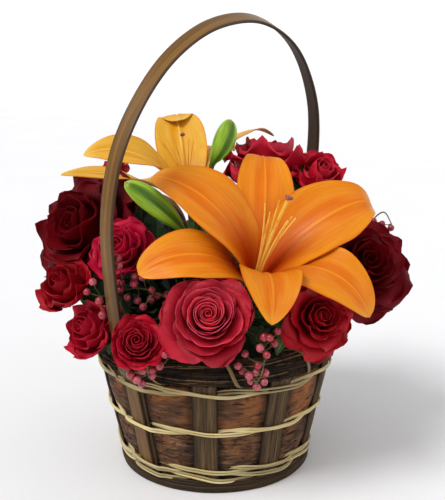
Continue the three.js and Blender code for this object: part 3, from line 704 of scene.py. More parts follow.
@dataclass(frozen=True)
class Bark(Finish):
    """Bark sheets: brown, with short dark cracks that run round the basket and paler flakes."""
    body: str = "#8a5a30"
    crack: str = "#1e120a"
    flake: str = "#a86c34"
    ridge: str = "#9c7c5c"
    scale: float = 1.0
    cracks: float = 0.5
    around_mm: float = 590.0
    up_mm: float = 42.0

    def pattern(self, paint: Painter, spot: Places, wide: float, high: float, detail: float,
                distortion: float = 0.0) -> bpy.types.NodeSocket:
        """Draws noise in spots of a size.

        Args:
            paint: draws into the material.
            spot: where a spot lies on the sheet.
            wide: how wide the spots are, in millimetres round the basket.
            high: how high they are, in millimetres.
            detail: how many finer layers they have.
            distortion: how far they are warped.

        Returns:
            The noise.
        """
        sizes = (self.around_mm / self.scale / wide, self.up_mm / self.scale / high, 1)
        return paint.grain(spot.whole, sizes, detail, distortion)

    def draw(self, paint: Painter) -> Drawn:
        """Draws patches, streaks, cracks and a fine grain, and painted shade beside the stakes.

        Args:
            paint: draws into the material.

        Returns:
            The bark's colour, relief and roughness.
        """
        spot = paint.places()
        fissure = self.pattern(paint, spot, 9, 1.7, 5.0, 0.7)
        ragged = self.pattern(paint, spot, 14, 6, 6.0, 1.4)
        patch = self.pattern(paint, spot, 28, 24, 4.0, 0.8)
        streak = self.pattern(paint, spot, 16, 2.2, 4.0, 0.6)
        fine = self.pattern(paint, spot, 4, 0.5, 4.0)
        colour = paint.wash(linear(self.body), self.flake, patch, 0.42, 0.66)
        colour = paint.wash(colour, self.ridge, streak, 0.5, 0.7, 0.6)
        colour = paint.wash(colour, self.crack, streak, 0.5, 0.3, 0.55)
        colour = paint.wash(colour, self.crack, fine, 0.42, 0.75, 0.5)
        # Painted shade beside each stake, in the crack colour
        colour = paint.wash(colour, self.crack, paint.stored("shade"), 0.0, 1.0, 0.7)
        more = 0.08 * self.cracks
        dark = paint.node("MapRange", {0: fissure, 1: 0.62 - more, 2: 0.68, 3: 0.0, 4: 0.9}, **EASE)
        torn = paint.node("MapRange", {0: ragged, 1: 0.64 - more, 2: 0.7, 3: 0.0, 4: 0.75}, **EASE)
        dark = paint.node("Math", {0: dark, 1: torn}, operation="MAXIMUM")
        colour = paint.node("Mix", {0: dark, 6: colour, 7: linear(self.crack)}, 2, **RGBA)
        relief = paint.node("Math", {0: fine, 1: 0.3}, operation="MULTIPLY")
        relief = paint.node("Math", {0: relief, 1: streak}, operation="ADD")
        relief = paint.node("Math", {0: relief, 1: dark}, operation="SUBTRACT")
        rough = paint.node("MapRange", {0: fissure, 1: 0.4, 2: 0.7, 3: 0.65, 4: 0.9}, **EASE)
        return Drawn(colour, relief, rough)


@dataclass(frozen=True)
class Fibre(Finish):
    """Split cane and reed: fibres that run along a strip of a given width and length."""
    body: str = "#7c6040"
    dark: str = "#3a2a1a"
    pale: str = "#9c8058"
    wide_mm: float = 13.0
    long_mm: float = 880.0
    gloss: Pair = (0.4, 0.6)
    lines: float = 0.75  # how strongly the fibres show
    edge: float = 0.75  # how dark the strip's edges are

    def draw(self, paint: Painter) -> Drawn:
        """Draws fibres about 0.5 mm wide and 30 mm long, and broader streaks.

        Args:
            paint: draws into the material.

        Returns:
            The strip's colour, relief and roughness.
        """
        spot = paint.places()
        fibre = paint.grain(spot.whole, (self.wide_mm / 0.5, self.long_mm / 30, 1), 4.0, 0.2)
        streak = paint.grain(spot.whole, (self.wide_mm / 4, self.long_mm / 90, 1), 3.0, 0.5)
        colour = paint.wash(linear(self.body), self.pale, streak, 0.35, 0.68)
        colour = paint.wash(colour, self.dark, fibre, 0.4, 0.7, self.lines)
        colour = paint.wash(colour, self.dark, spot.off, 0.36, 0.5, self.edge)
        glossy, dull = self.gloss
        rough = paint.node("MapRange", {0: streak, 1: 0.3, 2: 0.7, 3: glossy, 4: dull}, **EASE)
        return Drawn(colour, fibre, rough)


@dataclass(frozen=True)
class Splint(Fibre):
    """A stake of several narrow reeds, with dark seams between them."""
    reeds: int = 7

    def draw(self, paint: Painter) -> Drawn:
        """Draws the fibres, then darkens the seams.

        Args:
            paint: draws into the material.

        Returns:
            The stake's colour, relief and roughness.
        """
        drawn = super().draw(paint)
        spot = paint.places()
        sway = paint.grain(spot.whole, (3, 5, 1), 2.0)
        sway = paint.node("Math", {0: sway, 1: 0.24}, operation="MULTIPLY")
        share = paint.node("Math", {0: spot.across, 1: float(self.reeds)}, operation="MULTIPLY")
        share = paint.node("Math", {0: share}, operation="FRACT")
        off = paint.node("Math", {0: share, 1: 0.5}, operation="SUBTRACT")
        off = paint.node("Math", {0: off}, operation="ABSOLUTE")
        off = paint.node("Math", {0: off, 1: sway}, operation="ADD")
        seam = paint.node("MapRange", {0: off, 1: 0.44, 2: 0.62, 3: 0.0, 4: 0.85}, **EASE)
        colour = paint.node("Mix", {0: seam, 6: drawn.colour, 7: linear(self.dark)}, 2, **RGBA)
        relief = paint.node("Math", {0: drawn.relief, 1: seam}, operation="SUBTRACT")
        return Drawn(colour, relief, drawn.roughness)


@dataclass(frozen=True)
class Reed(Fibre):
    """Many split reeds in one piece: each is as light as its tone says."""

    def draw(self, paint: Painter) -> Drawn:
        """Draws the fibres, then shades each reed by its tone.

        Args:
            paint: draws into the material.

        Returns:
            The reeds' colour, relief and roughness.
        """
        drawn = super().draw(paint)
        colour = paint.wash(drawn.colour, self.dark, paint.stored("tone"), 0.0, 1.0, 0.0, 0.6)
        return Drawn(colour, drawn.relief, drawn.roughness)


@dataclass(frozen=True)
class Strap(Fibre):
    """A cane strap: its rind outside, and on the face turned inwards a dark colour that is partly its pith
    and partly painted shade.
    """
    # dark of the inner face: partly the pith, partly painted shade
    inner: str = "#24130c"

    def draw(self, paint: Painter) -> Drawn:
        """Draws the fibres, then darkens both legs where they leave the flowers, and paints the inner face
        dark, partly as painted shade.

        Args:
            paint: draws into the material.

        Returns:
            The strap's colour, relief and roughness.
        """
        drawn = super().draw(paint)
        inner = paint.stored("inner")
        off = paint.node("Math", {0: paint.places().along, 1: 0.5}, operation="SUBTRACT")
        off = paint.node("Math", {0: off}, operation="ABSOLUTE")
        above_foot = paint.node("MapRange", {0: off, 1: 0.27, 2: 0.34, 3: 1.0, 4: 0.4}, **EASE)
        colour = paint.wash(drawn.colour, self.dark, off, 0.13, 0.19, 0.62, within=above_foot)
        # Painted shade on the inner face, together with the pith's own darker colour
        colour = paint.wash(colour, self.inner, inner, 0.3, 0.7, 0.88)
        dull = paint.node("Math", {0: inner, 1: 0.35}, operation="MULTIPLY")
        rough = paint.node("Math", {0: drawn.roughness, 1: dull}, operation="ADD")
        return Drawn(colour, drawn.relief, rough)


@dataclass(frozen=True)
class Mottled(Finish):
    """Thin or small things: a body colour broken by darker and paler spots of a given size."""
    body: str = "#3a2a1e"
    dark: str = "#140c08"
    pale: str = "#5c4632"
    size_mm: float = 3.0
    gloss: Pair = (0.7, 0.9)

    def draw(self, paint: Painter) -> Drawn:
        """Draws spots of two sizes on the piece's own coordinates.

        Args:
            paint: draws into the material.

        Returns:
            The piece's colour, relief and roughness.
        """
        vector = paint.node("TexCoord", out="Object")
        fine = 1 / (self.size_mm * MM)
        spots = paint.grain(vector, (fine, fine, fine), 4.0)
        broad = paint.grain(vector, (fine / 5, fine / 5, fine / 5), 2.0)
        colour = paint.wash(linear(self.body), self.pale, broad, 0.35, 0.65)
        colour = paint.wash(colour, self.dark, spots, 0.48, 0.7, 0.8)
        glossy, dull = self.gloss
        rough = paint.node("MapRange", {0: spots, 1: 0.3, 2: 0.7, 3: glossy, 4: dull}, **EASE)
        return Drawn(colour, spots, rough)


@dataclass(frozen=True)
class Berry(Finish):
    """Pepperberries: a thin brittle pink-red skin with pale dusty patches and a soft gloss."""
    body: str = "#961426"
    dusty: str = "#bc5460"
    dark: str = "#34060e"

    def draw(self, paint: Painter) -> Drawn:
        """Draws dusty patches about 3 mm across and dark specks of 0.7 mm.

        Args:
            paint: draws into the material.

        Returns:
            The berry's colour, relief and roughness.
        """
        vector = paint.node("TexCoord", out="Object")
        patch = paint.grain(vector, (330, 330, 330), 2.0)
        specks = paint.grain(vector, (1400, 1400, 1400), 2.0)
        colour = paint.node("Mix", {0: paint.stored("tone"), 6: linear(self.body), 7: linear(self.dusty)},
                            2, **RGBA)
        colour = paint.wash(colour, self.dusty, patch, 0.5, 0.72, 0.45)
        colour = paint.wash(colour, self.dark, patch, 0.45, 0.28, 0.6)
        colour = paint.wash(colour, self.dark, specks, 0.56, 0.72, 0.4)
        return Drawn(colour, specks, 0.22)


class Look(Enum):
    """The finishes that the pieces wear, by the real material."""
    # Fresh rose petals are thin and velvety: their rims are painted paler, partly their own colour and partly
    # painted highlight where light catches them, and each petal's foot deep in the cup gets painted shade.
    ROSE_CORAL = RosePetal(
        "garden_rose_petal_pink_red", "rose_pink_red", 0.12, 0.12, "#f07080", ior=1.3,
        heart="#e80e2a", body="#a6021e", rim="#ff5e78", rim_share=0.6, foot="#50020c", glow=0.45)
    ROSE_RED = RosePetal(
        "rose_petal_red", "rose_red", 0.12, 0.12, "#c81028", ior=1.3,
        heart="#9c0412", body="#a40418", rim="#b81428", rim_share=0.3, foot="#380008")
    ROSE_SCARLET = RosePetal(
        "rose_petal_bright_red", "rose_red", 0.12, 0.12, "#d82038", ior=1.3,
        heart="#b8061c", body="#c60a2c", rim="#dc3c54", rim_share=0.4, foot="#5c0410", glow=0.35)
    ROSE_CRIMSON = RosePetal(
        "spray_rose_petal_crimson", "rose_pink_red", 0.12, 0.12, "#e03050", ior=1.3,
        heart="#b4041c", body="#b60626", rim="#d22c4c", rim_share=0.35, foot="#46000e")
    # The darkest petals swallow the light, so their folds show only along the rims, where a little painted
    # highlight lies.
    ROSE_BURGUNDY = RosePetal(
        "rose_petal_burgundy", "rose_burgundy", 0.12, 0.06, "#a01020", ior=1.2,
        heart="#6a0208", body="#640210", rim="#880a1a", rim_share=0.2, foot="#180004", glow=0.1)
    ROSE_PINK = RosePetal(
        "spray_rose_petal_hot_pink", "rose_hot_pink", 0.12, 0.12, "#e83868", ior=1.3,
        heart="#bc022a", body="#cc0638", rim="#e03460", rim_share=0.35, foot="#500014")
    # Lily tepals are thick and waxy: a broad soft gloss over a grain that runs to the tip.
    LILY_ORANGE = LilyTepal(
        "lily_tepal_orange", "lily_orange", 0.12, ior=1.3,
        body="#de7002", throat="#ac2a02", edge="#e6920a", tip="#eca430", rib="#f0981e")
    LILY_GOLD = LilyTepal(
        "lily_tepal_gold", "lily_gold", 0.12, ior=1.3, throat_reach=0.3,
        body="#da981a", throat="#c87010", edge="#e4b03a", tip="#ecc45c", rib="#f0cc70")
    # Filaments and stigma are smooth and moist, so they gleam.
    FILAMENT = Mottled(
        "lily_filament", "filament", 0.05, ior=1.35,
        body="#f4ac2c", dark="#e48812", pale="#f8c858", size_mm=8, gloss=(0.35, 0.45))
    STIGMA = Mottled(
        "lily_stigma", "filament", 0.1,
        body="#7c3432", dark="#44141a", pale="#a8605c", size_mm=1, gloss=(0.3, 0.4))
    # A closed bud has a firm waxy skin; the browned one is dry and duller.
    BUD = Bud("lily_bud_green", "leaf_green", 0.1, coat=0.1, ior=1.35)
    BUD_BROWN = Bud("lily_bud_browned", "leaf_green", 0.2, body="#947c30", seam="#3a2410", tip="#c09050")
    STEM = Mottled(
        "stem_green", "leaf_green", 0.05,
        body="#2f5a1e", dark="#1a3412", pale="#487028", size_mm=4, gloss=(0.45, 0.6))
    # Leaves have a satin cuticle; the filler leaves are painted darkest, as painted shade under the flowers.
    ROSE_LEAF = Leaf("rose_leaf", "leaf_green", 0.3, ior=1.4)
    LILY_LEAF = Leaf(
        "lily_leaf", "leaf_green", 0.2, ior=1.4, body="#3a6420", vein="#6e9440", shade="#1e3c12")
    # Painted shade: a darker copy of the leaf finish for the filler leaves under the flowers
    FILLER_LEAF = Leaf(
        "filler_leaf_dark", "leaf_green", 0.3, ior=1.35, body="#22401a", vein="#48683a", shade="#10240c")
    # Pepperberries have a dry papery skin with a faint gloss, on matt woody stalks.
    BERRY = Berry("pepperberry_skin", "berry_pink", 0.06, coat=0.25)
    TWIGLET = Mottled(
        "pepperberry_stalk", "leaf_green", 0.05,
        body="#4c4a26", dark="#2c2416", pale="#6c6838", size_mm=4, gloss=(0.6, 0.8))
    # Peeled birch bark: matt, red-brown where it is smooth and a cracked grey-brown where rough.
    BARK_UPPER = Bark(
        "birch_bark_smooth", "bark_smooth", 1.0, ior=1.3,
        body="#5e3e28", crack="#180d07", flake="#985c2c", ridge="#8c6040", scale=1.3, cracks=0.2)
    BARK_LOWER = Bark(
        "birch_bark_rough", "bark_rough", 1.6, ior=1.3,
        body="#4e3320", crack="#0e0705", flake="#7a5030", ridge="#947252", scale=1.0, cracks=0.7)
    # Weathered willow, split and laid side by side: grey-brown, dull, with dark seams.
    STAKE = Splint(
        "willow_splint_grey", "driftwood", 0.5, ior=1.3, body="#4c3924", dark="#160d07",
        pale="#705a3c", wide_mm=18, long_mm=88, gloss=(0.65, 0.85), lines=0.6)
    # Rattan keeps its hard rind outside, which is smooth and gleams a little.
    HANDLE = Strap(
        "rattan_strap", "cane", 0.2, coat=0.06, ior=1.35, body="#6a481a", dark="#34200c",
        pale="#90662a", wide_mm=13, long_mm=880, gloss=(0.3, 0.45), lines=0.35, edge=0.85)
    # Split straw-coloured reed: satin and pale, the brightest thing on the basket.
    STRAW = Reed(
        "split_straw_reed", "straw", 0.15, ior=1.4, body="#e4cc8c", dark="#46300f",
        pale="#f8eab4", wide_mm=1.6, long_mm=590, gloss=(0.4, 0.55), lines=0.3, edge=0.2)
    LASHING = Fibre(
        "lashing_strip", "straw", 0.2, ior=1.35, body="#7c6840", dark="#3c2c18",
        pale="#a08c5c", wide_mm=2.6, long_mm=600, gloss=(0.5, 0.7))
    # Unpeeled twigs and vines: matt, nearly black in their shade.
    TWIG = Mottled(
        "birch_twig_dark", "twigs", 0.3, ior=1.3, body="#241912", dark="#0c0704", pale="#3e2d1c", size_mm=5)
    VINE = Mottled(
        "vine_strand_tan", "twigs", 0.2, ior=1.3, body="#6e5436", dark="#3a2818", pale="#8c7048", size_mm=5)
    FOOT = Reed(
        "foot_reed_dark", "foot_wood", 0.3, ior=1.3, body="#4c3824", dark="#1a1008",
        pale="#6c5436", wide_mm=10, long_mm=480, gloss=(0.6, 0.8))
    # Hidden in the basket: a sawn board, a dark polythene liner and crumbly wet foam.
    BOARD = Mottled(
        "base_board_wood", "driftwood", 0.2, body="#5c4830", dark="#33261a", pale="#786040", size_mm=8)
    LINER = Mottled(
        "liner_polythene", "plastic", 0.02,
        body="#26241f", dark="#1a1815", pale="#302e28", size_mm=20, gloss=(0.35, 0.5))
    FOAM = Mottled(
        "floral_foam_wet", "floral_foam", 0.4,
        body="#1c2c18", dark="#0c160a", pale="#263c20", size_mm=1, gloss=(0.85, 0.95))


def place(piece: Piece, look: Look, *nodes: str) -> None:
    """Dresses a finished piece, rides it on the body, hides the CAD nodes that it replaces and logs its faces
    and finish.

    Args:
        piece: the piece.
        look: its finish.
        nodes: the CAD nodes that it replaces.
    """
    look.value.dress(piece)
    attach(piece, "root")
    if nodes:
        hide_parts(*nodes)
    log.info("%s: %d faces, %s", piece.name, len(piece.data.polygons), look.value.name)


# ---------- Basket ----------

@dataclass
class Basket:
    """The woven basket: bark, stakes, weaving, edge, foot and what is inside."""
    stakes: int = 10
    first_stake: float = 4.5  # its angle round the basket
    stake_width: float = 18.0
    stake_depth: float = 2.5  # how far the stakes lie inside the wall's surface
    stake_top: float = 94.6
    stake_reeds: int = 7
    bark_depth: float = 4.7  # how far the bark lies inside the wall's surface
    bark_swell: float = 3.0  # how far it stands out between the stakes
    thick: float = 1.4  # of a stake and of the bark
    bottom: float = 9.6
    seam: Pair = (52.1, 52.4)  # where the lower bark ends and the upper begins
    bark_top: float = 91.5
    weave: float = 2.9  # how far a reed stands out where it passes over a stake
    behind: float = -1.5  # how far it goes in where it passes behind
    strands_each: int = 2  # strands side by side in each reed of a pair
    border_radius: float = 92.6
    border_z: float = 104.0
    border_half: Pair = (6.4, 9.4)
    lashing_turns: int = 10
    lashing_half: float = 1.3
    lashing_thick: float = 0.8

    @property
    def spacing(self) -> float:
        """Returns the angle from one stake to the next."""
        return 360 / self.stakes

    def build(self) -> None:
        """Builds every piece of the basket."""
        for number in range(self.stakes):
            self.stake(number)
        below, above = self.seam
        self.bark("bark_band_lower", (self.bottom, below), (17, 52), Look.BARK_LOWER, 1.0)
        self.bark("bark_band_upper", (above, self.bark_top), (54.5, 86), Look.BARK_UPPER, 0.4)
        self.wale("wale_bottom", (12.6, 18.8), 2.3, 0.8)
        self.wale("wale_middle", (53.3,), 1.9, 0.82)
        self.wale("wale_top", (87.3,), 1.9, 0.82)
        self.foot()
        self.twigs()
        self.lashing()
        nodes = frame["nodes"]
        for name, look in (("base_board", Look.BOARD), ("border_roll", Look.TWIG),
                           ("liner_dish", Look.LINER), ("foam_block", Look.FOAM)):
            nodes[name].data.materials.clear()
            nodes[name].data.materials.append(look.value.make())

    def stake(self, number: int) -> None:
        """Builds one stake: narrow reeds side by side, each a little uneven.

        Args:
            number: which stake it is, from the first at the front.
        """
        rng = random.Random(number)
        reeds = self.stake_reeds
        lifts = [rng.uniform(-0.25, 0.25) for _ in range(reeds + 1)]
        ends = [rng.uniform(-1.2, 0.6) for _ in range(reeds + 1)]
        turn = self.first_stake + self.spacing * number

        def surface(x: float, t: float) -> Vector:
            """Finds a point on the reeds' rounded faces.

            Args:
                x: across it, from -1 to 1.
                t: along it, from 0 to 1.

            Returns:
                The point.
            """
            place_in = (x + 1) / 2 * reeds
            reed = min(reeds - 1, int(place_in))
            share = place_in - reed
            crown = 0.75 * math.sqrt(max(0.0, 1 - (2 * share - 1) ** 2)) - 0.35
            z = lerp(self.bottom, self.stake_top + ends[reed], t)
            bend = x * self.stake_width / 2 + 0.5 * waver(Vector((number * 9, z, 0)), 30)
            radius = wall(z) - self.stake_depth + 0.5 + crown + lifts[reed]
            angle = turn - math.degrees(bend / wall(z))
            return around(angle, radius + 0.25 * waver(Vector((reed * 5, z, number)), 12), z)

        piece = sheet(reeds * 6, 20, surface)
        thicken(piece, self.thick)
        piece.name = f"willow_stake_{number}"
        shade(piece, 60)
        place(piece, Look.STAKE, f"stake_{number}")

    def bark(self, node_name: str, heights: Pair, clear: Pair, look: Look, rough: float) -> None:
        """Builds one sheet of bark that swells between the stakes.

        Args:
            node_name: the CAD band that it replaces.
            heights: its lower and upper edge.
            clear: between which heights it swells, clear of the weaving.
            look: its finish.
            rough: how rough its face is, in millimetres.
        """
        low, high = heights

        def surface(x: float, t: float) -> Vector:
            """Finds a point on the bark, from its lower edge to its upper.

            Args:
                x: across it, from -1 to 1.
                t: along it, from 0 to 1.

            Returns:
                The point.
            """
            angle = 180 * x
            z = lerp(low, high, t)
            gap = 0.5 - 0.5 * math.cos(math.radians((angle - self.first_stake) * self.stakes))
            between = (z - clear[0]) / (clear[1] - clear[0])
            swell = self.bark_swell * gap ** 0.35 * math.sin(math.pi * min(1.0, max(0.0, between))) ** 0.6
            spot = around(angle, 80, z * 2.2)
            relief = rough * (0.6 * waver(spot, 14) + 0.5 * waver(spot, 5, 2) + 0.3 * waver(spot, 2.4, 5))
            edge = 1.2 * waver(around(angle, 80, 0), 9, low) * abs(2 * t - 1) ** 6
            return around(angle, wall(z) - self.bark_depth + swell + relief, z + edge)

        def beside_stake(vertex: bpy.types.MeshVertex) -> float:
            """Says how far a spot lies in the shade of a stake.

            Args:
                vertex: the spot.

            Returns:
                1 next to a stake and 0 midway between two.
            """
            angle = math.degrees(math.atan2(-vertex.co.x, -vertex.co.y))
            half = self.spacing / 2
            return smooth(12.5, 5.5, abs((angle - self.first_stake + half) % self.spacing - half))

        piece = sheet(360, 22, surface)
        weld(piece, turn=False)
        thicken(piece, self.thick)
        # Stores where the bark lies beside a stake, for the painted shade there
        mark(piece, "shade", beside_stake)
        piece.name = node_name.replace("band", "sheet")
        shade(piece, 60)
        place(piece, look, node_name)

    def twined(self, z0: float, phase: int, strand: int, spread: float, thick: float,
               seed: float) -> Strand:
        """Leads one strand of a wale round the basket, before one stake and behind the next.

        Args:
            z0: the height of its pair.
            phase: 1 or -1, so that the pair's two reeds alternate.
            strand: which strand of its reed it is.
            spread: how far the pair parts where it crosses, in millimetres.
            thick: its radius.
            seed: varies its waves.

        Returns:
            The closed strand.
        """
        steps = 300
        points, radii = [], []
        for i in range(steps):
            angle = 360 * i / steps
            turn = math.radians((angle - self.first_stake) * self.stakes / 2)
            side = math.tanh(1.3 * math.cos(turn)) / math.tanh(1.3) * phase
            spot = around(angle, 60, seed)
            apart = (strand - (self.strands_each - 1) / 2) * 1.7 * (1 + 0.3 * side)
            z = z0 + spread * phase * math.sin(turn) + apart
            z += 1.7 * waver(spot, 20) + 0.4 * waver(spot, 7)
            out = lerp(self.behind, self.weave, 0.5 + 0.5 * side) + 0.8 * waver(spot, 15, 3)
            leg = min(abs((angle - foot + 180) % 360 - 180) for foot in (Handle.angle, Handle.angle + 180))
            out += (Handle.thick + 0.1) * smooth(13, 8, leg) * max(0.0, side)
            out = max(out, self.behind - 0.2 * strand)
            points.append(around(angle, wall(z) - self.stake_depth + out, z))
            radii.append(thick * (1 + 0.35 * waver(spot, 20, 7) - 0.3 * smooth(0.2, 1, -side)))
        return Strand(points, radii, True)

    def wale(self, node_name: str, rows: Sequence[float], spread: float, thick: float) -> None:
        """Builds one wale: pairs of stranded reeds twined round the stakes.

        Args:
            node_name: the CAD wale that it replaces.
            rows: the height of each twined pair.
            spread: how far the pair parts where it crosses, in millimetres.
            thick: a strand's radius.
        """
        rng = random.Random(len(node_name) + int(rows[0]))
        reeds = []
        for z0, phase, strand in itertools.product(rows, (1, -1), range(self.strands_each)):
            run = self.twined(z0, phase, strand, spread, thick, rng.uniform(0, 50))
            reeds.append(tube(run, 6, rng.uniform(0.1, 1.0)))
        piece = join(node_name.replace("wale", "twined_reed"), reeds)
        weld(piece)
        shade(piece)
        place(piece, Look.STRAW, node_name)

    def foot(self) -> None:
        """Builds the foot: dark reeds coiled round the base board, the lowest lying on the floor."""
        rng = random.Random(3)
        reeds = []
        steps = 160
        floor_row = 3  # rows whose height is below this stay even, so that the foot stands flat
        rows = [(76.6, 1.5, 1.5), (77.3, 4.2, 1.35), (77.2, 6.7, 1.25), (76.6, 8.8, 1.1), (73.4, 2.0, 2.0),
                (73.6, 5.6, 2.0), (73.8, 8.2, 1.5), (71.0, 2.4, 1.3), (71.2, 6.4, 1.5)]
        for radius, z, thick in rows:
            seed = rng.uniform(0, 50)
            points, radii = [], []
            for i in range(steps):
                spot = around(360 * i / steps, 60, seed)
                lift = 0.35 * waver(spot, 18) if z > floor_row else 0.0
                points.append(around(360 * i / steps, radius + 0.35 * waver(spot, 16, 2), z + lift))
                radii.append(thick * (1 + (0.15 * waver(spot, 25, 4) if z > floor_row else 0)))
            reeds.append(tube(Strand(points, radii, True), 10, rng.uniform(0.2, 1.0)))
        piece = join("foot_coil", reeds)
        weld(piece)
        shade(piece)
        place(piece, Look.FOOT, "foot_ring")

    def border_point(self, degrees: float, roll: float, grow: float) -> Vector:
        """Finds a point on the rolled edge.

        Args:
            degrees: its angle round the basket.
            roll: its angle round the roll, in radians.
            grow: how far it lies outside the roll.

        Returns:
            The point.
        """
        wide, high = self.border_half
        radius = self.border_radius + (wide + grow) * math.cos(roll)
        return around(degrees, radius, self.border_z + (high + grow) * math.sin(roll))

    def wound(self, rng: random.Random, count: int, thick: Pair, rolls: Pair) -> list[Strand]:
        """Lays strands along the rolled edge.

        Args:
            rng: the random draws.
            count: how many there are.
            thick: their least and greatest radius.
            rolls: between which angles round the roll they start.

        Returns:
            The strands.
        """
        runs = []
        for _ in range(count):
            start, arc = rng.uniform(0, 360), rng.uniform(24, 100)
            roll, drift = rng.uniform(*rolls), rng.uniform(-0.6, 0.6)
            grow, seed = rng.uniform(-0.5, 0.6), rng.uniform(0, 60)
            radius = rng.uniform(*thick)
            steps = max(6, int(arc / 4))
            points, radii = [], []
            for i in range(steps + 1):
                t = i / steps
                degrees = start + arc * t
                spot = around(degrees, 60, seed)
                lift = grow + 0.9 * waver(spot, 12) + 1.6 * smooth(0.85, 1, t) * rng.random()
                points.append(self.border_point(degrees, roll + drift * t + 0.16 * waver(spot, 18, 2), lift))
                radii.append(radius * lerp(1.0, 0.5, t) * (1 + 0.2 * waver(spot, 6, 9)))
            runs.append(Strand(points, radii))
        return runs

    def stray(self, rng: random.Random, count: int) -> list[Strand]:
        """Sticks thin twigs into the rolled edge, half of them or more at the left.

        Args:
            rng: the random draws.
            count: how many there are.

        Returns:
            The twigs.
        """
        runs = []
        for _ in range(count):
            degrees = rng.uniform(50, 120) if rng.random() < 0.5 else rng.uniform(0, 360)
            foot = self.border_point(degrees, rng.uniform(-1.0, 1.2), 0)
            swing = rng.uniform(4, 13) * rng.choice((-1, 1))
            out = around(degrees + swing, rng.uniform(97, 104), 0)
            tip = Vector((out.x, out.y, foot.z + rng.uniform(-6, 9)))
            middle = foot.lerp(tip, 0.5) + Vector((0, 0, rng.uniform(-1, 2.5)))
            thick = rng.uniform(0.25, 0.5)
            runs.append(Strand(bezier([foot, middle, tip], 5), [lerp(thick, 0.15, i / 5) for i in range(6)]))
        return runs

    def twigs(self) -> None:
        """Builds the twigs of the rolled edge: dark birch, and tan vines among them."""
        rng = random.Random(11)
        dark = self.wound(rng, 190, (0.5, 1.3), (0, TAU)) + self.wound(rng, 40, (0.5, 1.0), (-1.5, -0.7))
        piece = strands("border_twigs", dark + self.stray(rng, 50), 0)
        shade(piece)
        place(piece, Look.TWIG)
        tan = self.wound(rng, 30, (0.35, 0.75), (-1.3, 1.6))
        piece = strands("border_vines", tan + self.stray(rng, 16), 0)
        shade(piece)
        place(piece, Look.VINE)

    def lashing(self) -> None:
        """Builds the strip that winds round the rolled edge and passes between the stakes."""
        first_gap = self.first_stake + self.spacing / 2

        def surface(x: float, t: float) -> Vector:
            """Finds a point on the strip, which lies slanted on the roll.

            Args:
                x: across it, from -1 to 1.
                t: along it, from 0 to 1.

            Returns:
                The point.
            """
            roll = TAU * (self.lashing_turns * t - 0.25)
            degrees = 360 * t + first_gap + math.degrees(self.lashing_half * x / self.border_radius)
            degrees -= 3.2 * (1 + math.sin(roll))
            return self.border_point(degrees, roll, 1.5 + 0.3 * (1 - x * x))

        piece = sheet(4, 480, surface)
        weld(piece, turn=False)
        thicken(piece, self.lashing_thick)
        piece.name = "lashing_strip"
        shade(piece)
        place(piece, Look.LASHING, "border_lashing")


@dataclass
class Handle:
    """The hoop handle: one strap of cane, a little twisted over the arch."""
    angle: float = 40.5  # of its left leg, round the basket
    width: float = 13.0
    thick: float = 2.6
    arch_foot: float = 150.0  # the height where the arch begins to twist
    twist: float = 22.0  # in degrees, at the top
    skew: float = 10.5  # in degrees, between the top and each leg
    off_wall: float = -1.1  # from the wall's surface to the strap's inner face
    middle: float = 215.0  # the height of the hoop's middle

    def centre_line(self) -> list[Vector]:
        """Draws the strap's centre line in its own upright plane.

        Returns:
            Points along it, whose x is the distance from the basket's axis.
        """
        beside = self.thick / 2 + self.off_wall
        legs = [(wall(z) + beside, z) for z in (9.6, 32, 54, 74, 86, 91)]
        out = [(98.1, 95), (100.2, 98), (101.6, 102), (102.4, 107)]
        arch = [(108, 130), (114, 178), (114.5, 216), (105, 257), (83, 293), (48, 326), (0, 348)]
        back = [(-55, 351), (-103, 328), (-131, 281), (-132, 228), (-119, 181), (-108, 140)]
        whole = legs + out + arch + back
        whole += [(-s, z) for s, z in reversed(out)] + [(-s, z) for s, z in reversed(legs)]
        return catmull([Vector((s, 0, z)) for s, z in whole], 10)

    def build(self) -> None:
        """Builds the strap with softly rounded edges."""
        line = self.centre_line()
        count = len(line) - 1
        turn = -math.pi / 2 - math.radians(self.angle)

        def surface(x: float, t: float) -> Vector:
            """Finds a point on the strap's middle sheet, which is a little wider on the far leg.

            Args:
                x: across it, from -1 to 1.
                t: along it, from 0 to 1.

            Returns:
                The point.
            """
            i = round(t * count)
            point = line[i]
            tangent = (line[min(count, i + 1)] - line[max(0, i - 1)]).normalized()
            about = math.atan2(max(0.0, point.z - self.arch_foot), point.x)
            twist = math.radians(self.twist * math.sin(about) ** 2 - self.skew * math.sin(2 * about))
            across = Vector((-tangent.z * math.sin(twist), math.cos(twist), tangent.x * math.sin(twist)))
            wide = self.width * (1 + 0.03 * waver(point, 40) + 0.14 * smooth(60, -60, point.x))
            placed = point + across * (x * wide / 2)
            placed.rotate(Quaternion(UP, turn))
            return placed

        def inside(vertex: bpy.types.MeshVertex) -> float:
            """Returns 1 where the strap faces the hoop's middle, and 0 elsewhere."""
            inwards = Vector((0, 0, min(vertex.co.z, self.middle * MM))) - vertex.co
            return 1.0 if vertex.normal.dot(inwards) > 0.3 * inwards.length else 0.0

        piece = sheet(8, count, surface)
        thicken(piece, self.thick)
        apply(piece, "BEVEL", width=0.7 * MM, segments=2, limit_method="ANGLE", angle_limit=math.radians(50))
        # Marks the inner face for its painted shade
        mark(piece, "inner", inside)
        piece.name = "handle_strap"
        shade(piece, 40)
        place(piece, Look.HANDLE, "handle_hoop")


# ---------- Stems and leaves ----------

FOAM_TOP = 114.0
FOAM_DROP = 0.0022
HOLE_DEPTH = 29.5  # how far a stem stands in the foam
NECK = 9.0  # how far it then rises straight


def foam_top(x: float, y: float) -> float:
    """Returns the height of the foam's domed top at a place."""
    return FOAM_TOP - FOAM_DROP * (x * x + y * y)


